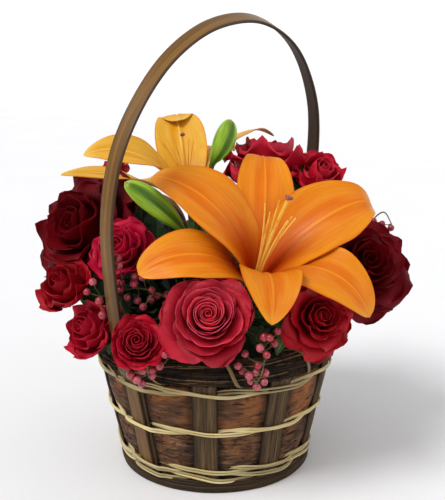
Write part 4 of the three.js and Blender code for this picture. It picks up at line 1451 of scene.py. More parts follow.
def stem_path(start: Vector, facing: Vector, hole: Pair, reach: float) -> list[Vector]:
    """Returns a stem's centre line from its flower down into its hole in the foam.

    Args:
        start: where the stem leaves the flower.
        facing: the way that the flower faces.
        hole: where it enters the foam.
        reach: how far it runs straight behind the flower.

    Returns:
        Points along the stem.
    """
    surface = foam_top(*hole)
    top = Vector((*hole, surface + NECK))
    arrive = Vector((*hole, lerp(top.z, max(start.z, top.z + 20), 0.4)))
    run = bezier([start, start - facing * reach, arrive, top], 24)
    return run + [Vector((*hole, surface - HOLE_DEPTH))]


def leaf(base: Vector, tip: Vector, width: float, arch: float, tone: float,
         teeth: int = 0, curl: float = 0.0, seed: float = 0.0,
         grid: tuple[int, int] = (8, 24)) -> Piece:
    """Makes one leaf.

    Args:
        base: where it leaves its stalk.
        tip: its tip.
        width: its greatest width.
        arch: how far it bows up along its length.
        tone: how light it is, from 0 to 1.
        teeth: how many teeth each edge has.
        curl: how far the tip turns down.
        seed: varies its waves.
        grid: its cells across and along.

    Returns:
        The leaf's sheet, without thickness.
    """
    along = tip - base
    side = along.cross(UP).normalized()
    lift = side.cross(along).normalized()

    def surface(x: float, t: float) -> Vector:
        """Finds a point on the blade, which is waved and may be toothed.

        Args:
            x: across it, from -1 to 1.
            t: along it, from 0 to 1.

        Returns:
            The point.
        """
        tooth = (t * teeth) % 1 if teeth else 0.0
        half = 0.3 + width / 2 * math.sin(math.pi * min(1.0, lerp(0.03, 0.995, t ** 0.85))) ** 0.8
        half *= 1 - 0.09 * tooth
        wave = 0.05 * width * waver(Vector((t * 6, x, seed)), 1.0) * abs(x)
        rise = arch * math.sin(math.pi * t) - curl * t ** 3 + 0.3 * half * abs(x) ** 1.5 + wave
        return base + along * t + side * (x * half) + lift * rise

    piece = sheet(*grid, surface)
    mark(piece, "tone", tone)
    return piece


# ---------- Roses ----------

@dataclass(frozen=True)
class Whorl:
    """One ring of petals, in shares of the bloom's radius.

    A petal leaves the axis at foot, swells to belly and ends at lip; it runs from base up to top, is
    span degrees wide to each side, rolls back by curl at its lip and ripples by wave.
    """
    petals: int
    foot: float
    belly: float
    lip: float
    base: float
    top: float
    span: float
    curl: float
    wave: float

    def towards(self, other: "Whorl", share: float) -> "Whorl":
        """Mixes this ring with another.

        Args:
            other: the other ring.
            share: how far the result lies towards it, from 0 to 1.

        Returns:
            The ring between.
        """
        mixed = {field.name: lerp(getattr(self, field.name), getattr(other, field.name), share)
                 for field in fields(self)}
        return Whorl(**mixed)


class Form(Enum):
    """How a rose is built, from its furled heart outwards."""
    FULL = (
        Whorl(3, 0.01, 0.05, 0.03, -0.2, 0.27, 130, 0.0, 0.0),
        Whorl(3, 0.02, 0.10, 0.09, -0.24, 0.31, 124, 0.005, 0.01),
        Whorl(3, 0.03, 0.15, 0.16, -0.28, 0.35, 118, 0.01, 0.02),
        Whorl(4, 0.05, 0.21, 0.24, -0.31, 0.38, 108, 0.012, 0.02),
        Whorl(4, 0.07, 0.28, 0.33, -0.34, 0.40, 98, 0.015, 0.025),
        Whorl(4, 0.09, 0.36, 0.42, -0.36, 0.42, 92, 0.02, 0.03),
        Whorl(4, 0.12, 0.45, 0.52, -0.39, 0.38, 88, 0.04, 0.035),
        Whorl(3, 0.16, 0.60, 0.74, -0.43, 0.16, 84, 0.12, 0.04),
        Whorl(3, 0.19, 0.76, 0.90, -0.46, -0.10, 78, 0.19, 0.05),
    )
    OPEN = (
        Whorl(3, 0.01, 0.07, 0.04, -0.2, 0.33, 124, 0.0, 0.01),
        Whorl(3, 0.03, 0.14, 0.11, -0.26, 0.38, 112, 0.01, 0.02),
        Whorl(3, 0.05, 0.22, 0.20, -0.30, 0.42, 100, 0.02, 0.03),
        Whorl(3, 0.08, 0.32, 0.33, -0.33, 0.44, 90, 0.05, 0.05),
        Whorl(3, 0.11, 0.46, 0.50, -0.38, 0.38, 84, 0.11, 0.06),
        Whorl(3, 0.15, 0.62, 0.74, -0.42, 0.22, 78, 0.19, 0.07),
        Whorl(4, 0.19, 0.78, 0.94, -0.46, -0.02, 70, 0.21, 0.07),
    )
    SMALL = (
        Whorl(3, 0.01, 0.09, 0.05, -0.2, 0.36, 122, 0.0, 0.01),
        Whorl(3, 0.03, 0.18, 0.15, -0.26, 0.42, 108, 0.015, 0.02),
        Whorl(3, 0.06, 0.29, 0.28, -0.32, 0.45, 98, 0.03, 0.03),
        Whorl(3, 0.09, 0.42, 0.44, -0.37, 0.44, 90, 0.06, 0.04),
        Whorl(4, 0.13, 0.58, 0.64, -0.42, 0.36, 80, 0.1, 0.05),
        Whorl(4, 0.18, 0.78, 0.9, -0.47, 0.14, 70, 0.14, 0.06),
    )
    FRILLED = (
        Whorl(3, 0.01, 0.10, 0.06, -0.2, 0.36, 115, 0.0, 0.02),
        Whorl(4, 0.04, 0.20, 0.17, -0.26, 0.41, 95, 0.02, 0.04),
        Whorl(4, 0.07, 0.32, 0.30, -0.32, 0.43, 82, 0.04, 0.05),
        Whorl(4, 0.10, 0.46, 0.46, -0.38, 0.41, 74, 0.06, 0.06),
        Whorl(4, 0.14, 0.60, 0.66, -0.42, 0.33, 68, 0.09, 0.07),
        Whorl(5, 0.18, 0.76, 0.88, -0.47, 0.16, 60, 0.12, 0.08),
    )
    BUDDED = (
        Whorl(3, 0.01, 0.12, 0.05, -0.2, 0.58, 124, 0.0, 0.01),
        Whorl(3, 0.04, 0.24, 0.15, -0.3, 0.62, 108, 0.01, 0.02),
        Whorl(3, 0.08, 0.40, 0.32, -0.38, 0.62, 98, 0.03, 0.03),
        Whorl(3, 0.12, 0.60, 0.58, -0.44, 0.54, 88, 0.08, 0.05),
        Whorl(4, 0.17, 0.80, 0.9, -0.48, 0.30, 76, 0.14, 0.06),
    )
    BROAD = (
        Whorl(3, 0.01, 0.09, 0.07, -0.2, 0.34, 118, 0.0, 0.02),
        Whorl(3, 0.04, 0.17, 0.17, -0.26, 0.38, 108, 0.02, 0.04),
        Whorl(3, 0.07, 0.28, 0.30, -0.31, 0.42, 100, 0.04, 0.06),
        Whorl(3, 0.10, 0.40, 0.46, -0.36, 0.43, 92, 0.08, 0.08),
        Whorl(3, 0.14, 0.54, 0.66, -0.41, 0.34, 86, 0.13, 0.06),
        Whorl(3, 0.18, 0.70, 0.86, -0.45, 0.18, 80, 0.18, 0.06),
        Whorl(4, 0.20, 0.84, 1.04, -0.48, -0.04, 72, 0.2, 0.06),
    )
    CUPPED = (
        Whorl(3, 0.01, 0.12, 0.06, -0.2, 0.56, 120, 0.0, 0.02),
        Whorl(3, 0.05, 0.26, 0.2, -0.3, 0.68, 100, 0.03, 0.05),
        Whorl(3, 0.1, 0.46, 0.42, -0.38, 0.84, 90, 0.08, 0.05),
        Whorl(3, 0.16, 0.66, 0.72, -0.44, 0.90, 84, 0.14, 0.06),
        Whorl(3, 0.22, 0.84, 0.98, -0.48, 0.66, 78, 0.2, 0.07),
        Whorl(4, 0.24, 0.92, 1.1, -0.5, 0.16, 70, 0.24, 0.08),
    )


@dataclass
class Rose:
    """A rose: where it sits, which way it faces, how it is built and what it wears."""
    name: str
    centre: Point
    radius: float
    facing: Point
    form: Form
    look: Look
    hole: Pair
    seed: int = 0
    leaves: tuple[LeafAt, ...] = ()

    def petal(self, whorl: Whorl, turn: float, reach: float, rng: random.Random) -> Piece:
        """Makes one petal of a whorl.

        Args:
            whorl: the petal's ring.
            turn: its angle round the bloom, in radians.
            reach: 0 at the heart and 1 at the outermost ring.
            rng: the bloom's random draws.

        Returns:
            The petal's sheet.
        """
        span = math.radians(whorl.span * rng.uniform(0.92, 1.06))
        top = whorl.top + rng.uniform(-0.03, 0.03)
        lip = whorl.lip * rng.uniform(0.95, 1.04)
        curl = whorl.curl * rng.uniform(0.6, 1.3)
        lean = rng.uniform(-0.04, 0.04) * reach
        cusp = rng.uniform(0.0, 0.2) * reach
        narrow = (0.3 + 0.4 * rng.random()) * reach
        seed = rng.uniform(0, 90)

        def surface(x: float, t: float) -> Vector:
            """Finds a point on the petal, whose lip rolls back and ripples.

            Args:
                x: across it, from -1 to 1.
                t: along it, from 0 to 1.

            Returns:
                The point.
            """
            edge = abs(x) ** 2.6
            wide = lerp(0.4, 1.0, math.sin(math.pi / 2 * min(1.0, 1.35 * t)))
            wide *= 1 - narrow * smooth(0.7, 1.05, t) ** 1.5
            angle = turn + span * x * wide
            up = t * (1 - (0.1 + 0.1 * reach) * edge + cusp * math.exp(-abs(x) / 0.16))
            radius = lerp(whorl.foot, whorl.belly, math.sin(math.pi / 2 * min(1.0, up / 0.62)) ** 0.8)
            radius += (lip - whorl.belly) * smooth(0.5, 1, up)
            height = lerp(whorl.base, top, up ** (1.15 + 0.25 * reach))
            beside = math.sin(math.pi * min(1.0, 1.15 * abs(x))) ** 2
            bend = 2.4 * smooth(0.62, 1, t) * (0.3 + 0.7 * beside)
            radius += curl * math.sin(bend) + (0.02 + 0.07 * reach) * x * t + lean * t
            height -= curl * (1 - math.cos(bend)) + 0.05 * edge * t * reach
            ripple = whorl.wave * t * t
            radius += ripple * waver(Vector((x * 2.2, t * 1.4, seed)), 1.0)
            height += 1.3 * ripple * waver(Vector((x * 3.1, t * 1.5, seed + 30)), 1.0)
            return Vector((radius * math.cos(angle), radius * math.sin(angle), height)) * self.radius

        piece = sheet(14, 12, surface)
        mark(piece, "reach", reach)
        mark(piece, "tone", rng.random())
        return piece

    def bloom(self) -> None:
        """Builds the bloom, petal by petal from the heart outwards."""
        rng = random.Random(self.seed * 31 + 7)
        petals = []
        whorls = self.form.value
        turn = rng.uniform(0, TAU)
        for ring, whorl in enumerate(whorls):
            after = whorls[min(ring + 1, len(whorls) - 1)]
            for i in range(whorl.petals):
                share = i / whorl.petals
                turn += GOLDEN * rng.uniform(0.96, 1.04)
                reach = min(1.0, (ring + share) / (len(whorls) - 1))
                petals.append(self.petal(whorl.towards(after, share), turn, reach, rng))
        piece = join(f"{self.name}_petals", petals)
        set_down(piece, self.facing, self.centre)
        thicken(piece, PETAL_THICK)
        shade(piece, 70)
        place(piece, self.look, f"{self.name}_bloom")

    def green(self) -> None:
        """Builds the receptacle, sepals, stem and leaves below the bloom."""
        facing = Vector(self.facing).normalized()
        turned = aim(facing)
        centre = Vector(self.centre)
        thick = 2.3 if self.radius > 26 else 1.7
        neck = -0.5 * self.radius
        start = centre + facing * (neck + 1)
        path = stem_path(start, facing, self.hole, 18)
        radii = [thick * (1.9 if i < 1 else 1.35 if i < 2 else 1.0) for i in range(len(path))]
        stem = strands(f"{self.name}_stalk", [Strand(path, radii)], 1)
        mark(stem, "tone", 0.5)
        shade(stem)
        place(stem, Look.STEM, f"{self.name}_stem")
        rng = random.Random(self.seed)
        blades = []
        for i in range(5):
            angle = TAU * i / 5 + rng.random()
            out = Vector((math.cos(angle), math.sin(angle), 0))
            reach = 0.52 * self.radius
            base = centre + turned @ (out * 0.8 + UP * (neck + 0.6))
            tip = centre + turned @ (out * reach + UP * (neck + rng.uniform(-0.05, 0.12) * self.radius))
            blades.append(leaf(base, tip, 0.24 * self.radius, 1.5, rng.random(), curl=2))
        for at, tip, width in self.leaves:
            base = path[at]
            blades.append(leaf(base, Vector(tip), width, 4, rng.random(), 12, 3, at))
        piece = join(f"{self.name}_leaves", blades)
        thicken(piece, LEAF_THICK)
        shade(piece, 60)
        place(piece, Look.ROSE_LEAF)


ROSES = (
    Rose("rose_centre", (-4, -108, 152), 32, (0, -.82, .57), Form.FULL, Look.ROSE_CORAL, (-2, -54), 1),
    Rose("rose_front_right", (75, -85, 144), 26, (.35, -.8, .45), Form.OPEN, Look.ROSE_RED, (42, -46), 2,
         ((5, (44, -97, 122), 14),)),
    Rose("rose_front_left", (-54, -103, 131), 20.5, (0, -.78, .62), Form.FRILLED, Look.ROSE_CRIMSON,
         (-31, -53), 3),
    Rose("rose_left_centre", (-69, -58, 188), 25, (-.3, -.7, .65), Form.SMALL, Look.ROSE_PINK, (-33, -28), 4),
    Rose("rose_left", (-113, -43, 154.5), 22.5, (-.45, -.5, .7), Form.BUDDED, Look.ROSE_RED, (-60, -16), 5),
    Rose("rose_lower_left", (-92, -65, 128), 22, (-.6, -.6, .45), Form.BUDDED, Look.ROSE_CRIMSON,
         (-53, -36), 6),
    Rose("rose_large_left", (-106, -4, 192), 45, (-.6, -.62, .5), Form.BROAD, Look.ROSE_BURGUNDY, (-47, 2), 7,
         ((5, (-130, -22, 136), 17),)),
    Rose("rose_large_right", (119, -2, 162), 39, (.36, -.74, .56), Form.BROAD, Look.ROSE_BURGUNDY,
         (62, -6), 8),
    Rose("rose_back_top", (43, 55, 228), 31, (.05, .2, .97), Form.CUPPED, Look.ROSE_SCARLET, (20, 30), 9,
         ((8, (62, 70, 190), 17),)),
    Rose("rose_back_right", (86, 38, 227), 23, (.35, -.6, .7), Form.BUDDED, Look.ROSE_SCARLET, (44, 21), 10,
         ((8, (66, 10, 200), 15),)),
    Rose("rose_back_left", (-88, 60, 226), 17, (-.4, .3, .85), Form.SMALL, Look.ROSE_PINK, (-42, 34), 11),
    Rose("rose_rear_left", (-78, 82, 164), 32, (-.55, .7, .45), Form.OPEN, Look.ROSE_RED, (-36, 50), 12,
         ((8, (-112, 56, 140), 18),)),
    Rose("rose_rear_centre", (8, 108, 166), 33, (.05, .85, .5), Form.FULL, Look.ROSE_CORAL, (4, 56), 13,
         ((8, (-30, 116, 140), 18),)),
    Rose("rose_rear_right", (102, 66, 158), 27, (.6, .6, .45), Form.OPEN, Look.ROSE_RED, (50, 40), 14,
         ((8, (112, 92, 112), 16),)),
)


# ---------- Lilies ----------

@dataclass(frozen=True)
class Tepal:
    """One tepal: its angle round the flower, its lean at the tip, its length and width, and its ring."""
    azimuth: float
    bend: float
    length: float
    width: float
    outer: bool
    seed: float = 0.0
    droop: float = 0.0  # extra lean of the tip, in degrees
    fold: float = 0.75  # where along its length the tip begins to droop
    roll: float = 0.0  # turn of the blade about its own length at the tip, in degrees
    blunt: float = 0.82  # less than 1 for a broad tip
    start: float = 0.0  # lean at its foot, in degrees, where it isn't the flower's


@dataclass(frozen=True)
class BudOn:
    """A bud: the stem point that it grows from, its base, tip and radius, and where its stalk bends."""
    at: int
    base: Point
    tip: Point
    radius: float
    by: Point
    look: Look = Look.BUD


@dataclass
class Lily:
    """A lily with its filaments, stem, buds and leaves."""
    name: str
    look: Look
    centre: Point
    facing: Point
    opening: float
    hole: Pair
    tepals: tuple[Tepal, ...]
    stigma: Point
    filaments: tuple[Point, ...]
    thread: float  # how thick its filaments are, 1 for the large flower
    buds: tuple[BudOn, ...]
    leaves: tuple[LeafAt, ...]

    def tepal(self, one: Tepal) -> Piece:
        """Makes one tepal: it leaves the throat upright and bends outwards along its length.

        Args:
            one: its sizes.

        Returns:
            The tepal's sheet.
        """
        turn = math.radians(one.azimuth)
        radial = Vector((math.cos(turn), math.sin(turn), 0))
        side = Vector((-math.sin(turn), math.cos(turn), 0))
        rows, columns = 44, 20
        pieces = rows * 3

        def lean(t: float) -> float:
            """Returns the angle between the tepal and the flower's axis."""
            droop = one.droop * smooth(one.fold, min(1.0, one.fold + (0.2 if one.droop > 0 else 0.07)), t)
            return math.radians(lerp(one.start or self.opening, one.bend, t ** 1.3) + droop)

        spine = [radial * (6.6 if one.outer else 4.2)]
        for i in range(pieces):
            angle = lean((i + 0.5) / pieces)
            length = one.length / pieces
            spine.append(spine[-1] + radial * (length * math.sin(angle)) + UP * (length * math.cos(angle)))

        def surface(x: float, t: float) -> Vector:
            """Finds a point on the ribbed and rippled blade.

            Args:
                x: across it, from -1 to 1.
                t: along it, from 0 to 1.

            Returns:
                The point.
            """
            point = spine[round(t * pieces)]
            belly = max(0.0, math.sin(math.pi * t ** 1.05)) ** one.blunt
            half = lerp(2.4, 0.4, t) + (one.width / 2 - 1.4) * belly
            inward = -radial * math.cos(lean(t)) + UP * math.sin(lean(t))
            turned = math.radians(one.roll) * smooth(0.05, 0.75, t)
            out = side * math.cos(turned) + inward * math.sin(turned)
            inward = inward * math.cos(turned) - side * math.sin(turned)
            cup = (0.08 if one.outer else lerp(0.34, 0.1, t)) * half * abs(x) ** 1.6
            rib = 0.9 * math.exp(-(x / 0.07) ** 2) - 0.8 * math.exp(-((abs(x) - 0.17) / 0.08) ** 2)
            ripple = 0.09 * half * abs(x) ** 2.5 * waver(Vector((t * 4.2, x * 0.7, one.seed)), 1.0) * belly
            soft = 0.02 * one.width * waver(Vector((t * 3, x * 1.5, one.seed + 9)), 1.0)
            return point + out * (x * half) + inward * (cup + rib * belly * 0.8 + 2 * ripple + soft)

        piece = sheet(columns, rows, surface)
        mark(piece, "tone", (one.seed * 0.37) % 1)
        return piece

    def flower(self) -> None:
        """Builds the six tepals round their heart."""
        heart = sheet(16, 6, lambda x, t: Vector((
            9.0 * math.sin(math.pi * t) ** 0.7 * math.cos(math.pi * x),
            9.0 * math.sin(math.pi * t) ** 0.7 * math.sin(math.pi * x),
            lerp(-5, 2, t))))
        mark(heart, "tone", 0.4)
        weld(heart)
        blades = [self.tepal(one) for one in self.tepals]
        piece = join(f"{self.name}_flower", blades)
        thicken(piece, TEPAL_THICK)
        piece = join(f"{self.name}_flower", [piece, heart])
        set_down(piece, self.facing, self.centre)
        shade(piece, 70)
        place(piece, self.look, f"{self.name}_tepals")

    def stamens(self) -> None:
        """Builds six filaments and the longer pistil with its dark stigma."""
        runs = []
        for spot in self.filaments:
            tip = Vector(spot)
            out = Vector((tip.x, tip.y, 0)).normalized()
            run = bezier([out * 1.6 + UP * 2.4, out * 2 + UP * 0.5 * tip.z, tip], 14)
            runs.append(Strand(run, [self.thread * lerp(1.3, 0.5, k / 14) for k in range(15)]))
        top = Vector(self.stigma)
        style = bezier([UP * 2.4, Vector((0, 0, 0.5 * top.z)), top], 14)
        runs.append(Strand(style, [self.thread * lerp(1.6, 1.2, k / 14) for k in range(15)]))
        piece = strands(f"{self.name}_filaments", runs, 2)
        set_down(piece, self.facing, self.centre)
        shade(piece)
        place(piece, Look.FILAMENT, f"{self.name}_stamens")

        def knob(x: float, t: float) -> Vector:
            """Finds a point on the three-lobed stigma.

            Args:
                x: across it, from -1 to 1.
                t: along it, from 0 to 1.

            Returns:
                The point.
            """
            lobe = 1 + 0.25 * math.cos(3 * math.pi * x)
            radius = 2.8 * self.thread ** 0.5 * lobe * math.sin(math.pi * min(1, max(0, t))) ** 0.6
            return top + Vector((radius * math.cos(math.pi * x), radius * math.sin(math.pi * x),
                                 lerp(-1.6, 1.8, t)))

        stigma = sheet(24, 10, knob)
        weld(stigma)
        stigma.name = f"{self.name}_stigma"
        set_down(stigma, self.facing, self.centre)
        shade(stigma)
        place(stigma, Look.STIGMA)

    def green(self) -> None:
        """Builds the stem, the buds on their stalks and the narrow leaves."""
        facing = Vector(self.facing).normalized()
        path = stem_path(Vector(self.centre) - facing * 4.6, facing, self.hole, 24)
        runs = [Strand(path, [2.6] * len(path))]
        buds = []
        for bud in self.buds:
            base, tip = Vector(bud.base), Vector(bud.tip)
            stalk = bezier([base.lerp(tip, 0.1), Vector(bud.by), path[bud.at]], 12)
            runs.append(Strand(stalk, [lerp(2.2, 1.7, k / 12) for k in range(13)]))
            buds.append((bud.look, self.bud(base, tip, bud.radius)))
        stem = strands(f"{self.name}_stalks", runs, 2)
        shade(stem)
        place(stem, Look.STEM, f"{self.name}_stem")
        for number, (look, piece) in enumerate(buds):
            piece.name = f"{self.name}_bud_{number}"
            shade(piece, 70)
            place(piece, look)
        blades = [leaf(path[at], Vector(tip), width, 5, 0.3 + 0.1 * i, curl=5, seed=i)
                  for i, (at, tip, width) in enumerate(self.leaves)]
        piece = join(f"{self.name}_leaves", blades)
        thicken(piece, 1.25 * LEAF_THICK)
        shade(piece, 60)
        place(piece, Look.LILY_LEAF)

    def bud(self, base: Vector, tip: Vector, radius: float) -> Piece:
        """Makes a closed bud of three folded tepals, blunt at its tip.

        Args:
            base: where it leaves its stalk.
            tip: its tip.
            radius: its greatest radius.

        Returns:
            The bud.
        """
        length = (tip - base).length
        turned = aim((tip - base).normalized())

        def surface(x: float, t: float) -> Vector:
            """Finds a point on the bud's ridged skin.

            Args:
                x: across it, from -1 to 1.
                t: along it, from 0 to 1.

            Returns:
                The point.
            """
            swell = max(0.0, math.sin(math.pi * min(1.0, t ** 1.2))) ** 0.5 * lerp(0.86, 1.03, t)
            angle = math.pi * x
            ridge = 1 + 0.1 * math.cos(3 * angle) - 0.1 * math.exp(-((math.cos(3 * angle) + 1) / 0.08))
            r = radius * swell * ridge
            bow = 0.03 * length * math.sin(math.pi * t)
            return base + turned @ Vector((r * math.cos(angle) + bow, r * math.sin(angle), length * t))

        piece = sheet(48, 28, surface)
        weld(piece)
        return piece


LILIES = (
    Lily("lily_front", Look.LILY_ORANGE, (31, -50, 160), (.2, -.35, .91), 22, (20, -22), (
        Tepal(160, 111, 119, 51, False, 1.3, roll=-16, blunt=0.58),
        Tepal(96, 99, 118, 46, True, 2.1, 60, 0.8, blunt=0.6),
        Tepal(29, 94, 118, 57, False, 3.7, 50, 0.8, roll=20, blunt=0.6),
        Tepal(-160, 142, 101, 39, True, 4.4, roll=-32, blunt=0.5, start=38),
        Tepal(-85, 140, 90, 43, False, 5.9, roll=5, blunt=0.7),
        Tepal(-30, 147, 107, 46, True, 6.2, roll=15, blunt=0.6)),
        (6, -1, 77.8), ((-8, 7, 65), (2, 12, 67), (13, 4, 60.5), (9, -5, 62), (-4, 0, 63), (17, 10, 56)), 1.0,
        (BudOn(11, (-22, -45, 197.5), (-65, -55, 237), 9, (0, -34, 172)),
         BudOn(14, (-22, -24, 200), (-50, -24, 221), 7, (-6, -22, 168), Look.BUD_BROWN)),
        ((7, (-30, -52, 174), 13), (11, (62, -62, 136), 14), (11, (-40, -6, 206), 15),
         (14, (-52, -14, 214), 12))),
    Lily("lily_back", Look.LILY_GOLD, (-22, 38, 208), (-.1, .12, .98), 25, (-14, 18), (
        Tepal(-171, 108, 98, 36, False, 1.9, roll=-48, blunt=0.75),
        Tepal(-144, 92, 112, 24, True, 2.6, roll=-30, start=60),
        Tepal(19, 97, 98, 34, True, 3.1, 30), Tepal(96, 66, 108, 44, False, 4.8, -176, 0.8, blunt=0.55),
        Tepal(58, 118, 90, 34, True, 5.2), Tepal(134, 110, 84, 30, True, 6.6, start=60)),
        (0, -1, 52), ((-22, -2, 53), (-18, -7, 50), (-14, 4, 50), (-7, -6, 50), (5, 4, 48), (9, -6, 46)),
        0.55,
        (BudOn(11, (-3, 0, 241), (12.6, 5, 276), 9, (-10, 4, 205)),),
        ((11, (-62, 24, 186), 14), (14, (4, 62, 196), 14))),
)


# ---------- Pepperberries ----------

@dataclass
class Spray:
    """A spray of pepperberries: its twig from the foam outwards, and its berries' centres."""
    name: str
    hole: Pair
    path: tuple[Point, ...]
    berries: tuple[Point, ...]
    seed: int

    def build(self) -> None:
        """Builds the twig with its forked stalks, and the berries at their ends."""
        rng = random.Random(self.seed)
        surface = foam_top(*self.hole)
        foot = [Vector((*self.hole, surface + z)) for z in (-HOLE_DEPTH, 0, NECK)]
        twig = catmull(foot + [Vector(point) for point in self.path], 6)
        runs = [Strand(twig, [lerp(1.0, 0.5, i / (len(twig) - 1)) for i in range(len(twig))])]
        berries = []
        for spot in self.berries:
            centre = Vector(spot)
            root = min(twig[12:], key=lambda p: (p - centre).length + 0.6 * abs(p.z - centre.z + 6))
            bend = root.lerp(centre, 0.55) + Vector((rng.uniform(-2, 2), rng.uniform(-2, 2), -2))
            runs.append(Strand(bezier([root, bend, centre], 6), [0.55, .5, .45, .42, .4, .4, .4]))
            berries.append(self.berry(centre, root, 2.95 * rng.uniform(0.86, 1.1), rng))
        stalks = strands(f"{self.name}_stalks", runs, 0)
        shade(stalks)
        place(stalks, Look.TWIGLET)
        piece = join(f"{self.name}_berries", berries)
        weld(piece)
        shade(piece, 80)
        place(piece, Look.BERRY, self.name)

    def berry(self, centre: Vector, root: Vector, radius: float, rng: random.Random) -> Piece:
        """Makes one berry: a little dimpled where its stalk ends, with a small nib opposite.

        Args:
            centre: its centre.
            root: where its stalk leaves the twig.
            radius: its radius.
            rng: the spray's random draws.

        Returns:
            The berry's skin, which weld() closes later.
        """
        turned = aim((centre - root).normalized())

        def surface(x: float, t: float) -> Vector:
            """Finds a point on the berry's skin.

            Args:
                x: across it, from -1 to 1.
                t: along it, from 0 to 1.

            Returns:
                The point.
            """
            polar = math.pi * t
            dimple = 0.16 * math.exp(-(polar / 0.35) ** 2)
            r = radius * (1 - dimple + 0.1 * math.exp(-((math.pi - polar) / 0.16) ** 2))
            flat = Vector((math.sin(polar) * math.cos(math.pi * x), math.sin(polar) * math.sin(math.pi * x),
                           -math.cos(polar)))
            return centre + turned @ (flat * r)

        piece = sheet(14, 10, surface)
        mark(piece, "tone", rng.random() ** 1.6)
        return piece


SPRAYS = (
    Spray("pepperberries_left", (-16, -38), (
        (-22, -56, 138), (-38, -72, 156), (-56, -66, 160), (-82, -70, 155)), (
        (-67.8, -84.6, 187.8), (-67.5, -84, 182), (-57.1, -74.2, 171.7), (-51.4, -78.2, 171.7),
        (-67.9, -72.9, 166.4), (-57.9, -75.2, 166), (-68.2, -71, 160.2), (-44.8, -77.3, 162),
        (-41.1, -70.3, 155.4), (-34.3, -73.6, 157.2), (-91.9, -76, 160.2), (-82.5, -80.2, 154.7),
        (-63.2, -74.7, 155.6), (-56, -71.1, 152.2), (-46.3, -69.2, 152.8), (-51.7, -75.3, 148.6),
        (-35.4, -69.3, 149), (-69.5, -69.7, 144.5), (-81.1, -77.2, 143.1), (-86.9, -78.9, 168.5),
        (-63.9, -72, 139.8)), 1),
    Spray("pepperberries_front", (16, -56), (
        (26, -84, 132), (35, -107, 127), (34, -112, 114), (30, -112, 104)), (
        (44, -109.9, 142), (34.8, -109.2, 137.3), (41.9, -107.4, 132.4), (32.1, -109.5, 129.5),
        (36.5, -113.3, 126), (21.7, -107.4, 124.5), (16.8, -110, 116.7), (20, -108.3, 112.1),
        (30.8, -110.1, 116.8), (24.5, -111.7, 109.8), (29.3, -108.8, 110.9), (35.8, -108.4, 110.7),
        (25.9, -108.6, 104.8), (35.1, -110.2, 104.7), (30, -110.8, 101.2), (38.7, -112, 138)), 2),
    Spray("pepperberries_front_left", (-14, -66), (
        (-24, -92, 126), (-34, -106, 118), (-44, -106, 110), (-58, -102, 102)), (
        (-34.2, -109.2, 124.6), (-29.5, -106.3, 127), (-37.9, -108.5, 116.1), (-43.3, -107, 112.4),
        (-43.6, -104.4, 107.2), (-50.2, -107.5, 112), (-58.7, -105.2, 108.1), (-54.1, -107.6, 105.1),
        (-50.9, -104.9, 101)), 3),
    Spray("pepperberries_right", (54, 10), ((90, 30, 152), (124, 40, 180), (142, 45, 194), (149, 45, 184)), (
        (133.6, 43.3, 186.7), (145.2, 47.8, 177), (148.6, 44.1, 180.6), (142.9, 43.6, 173.6),
        (141.3, 46.4, 183.4), (125, 42.3, 192.1), (130.4, 47.5, 183.2)), 4),
)


# ---------- Filler leaves ----------

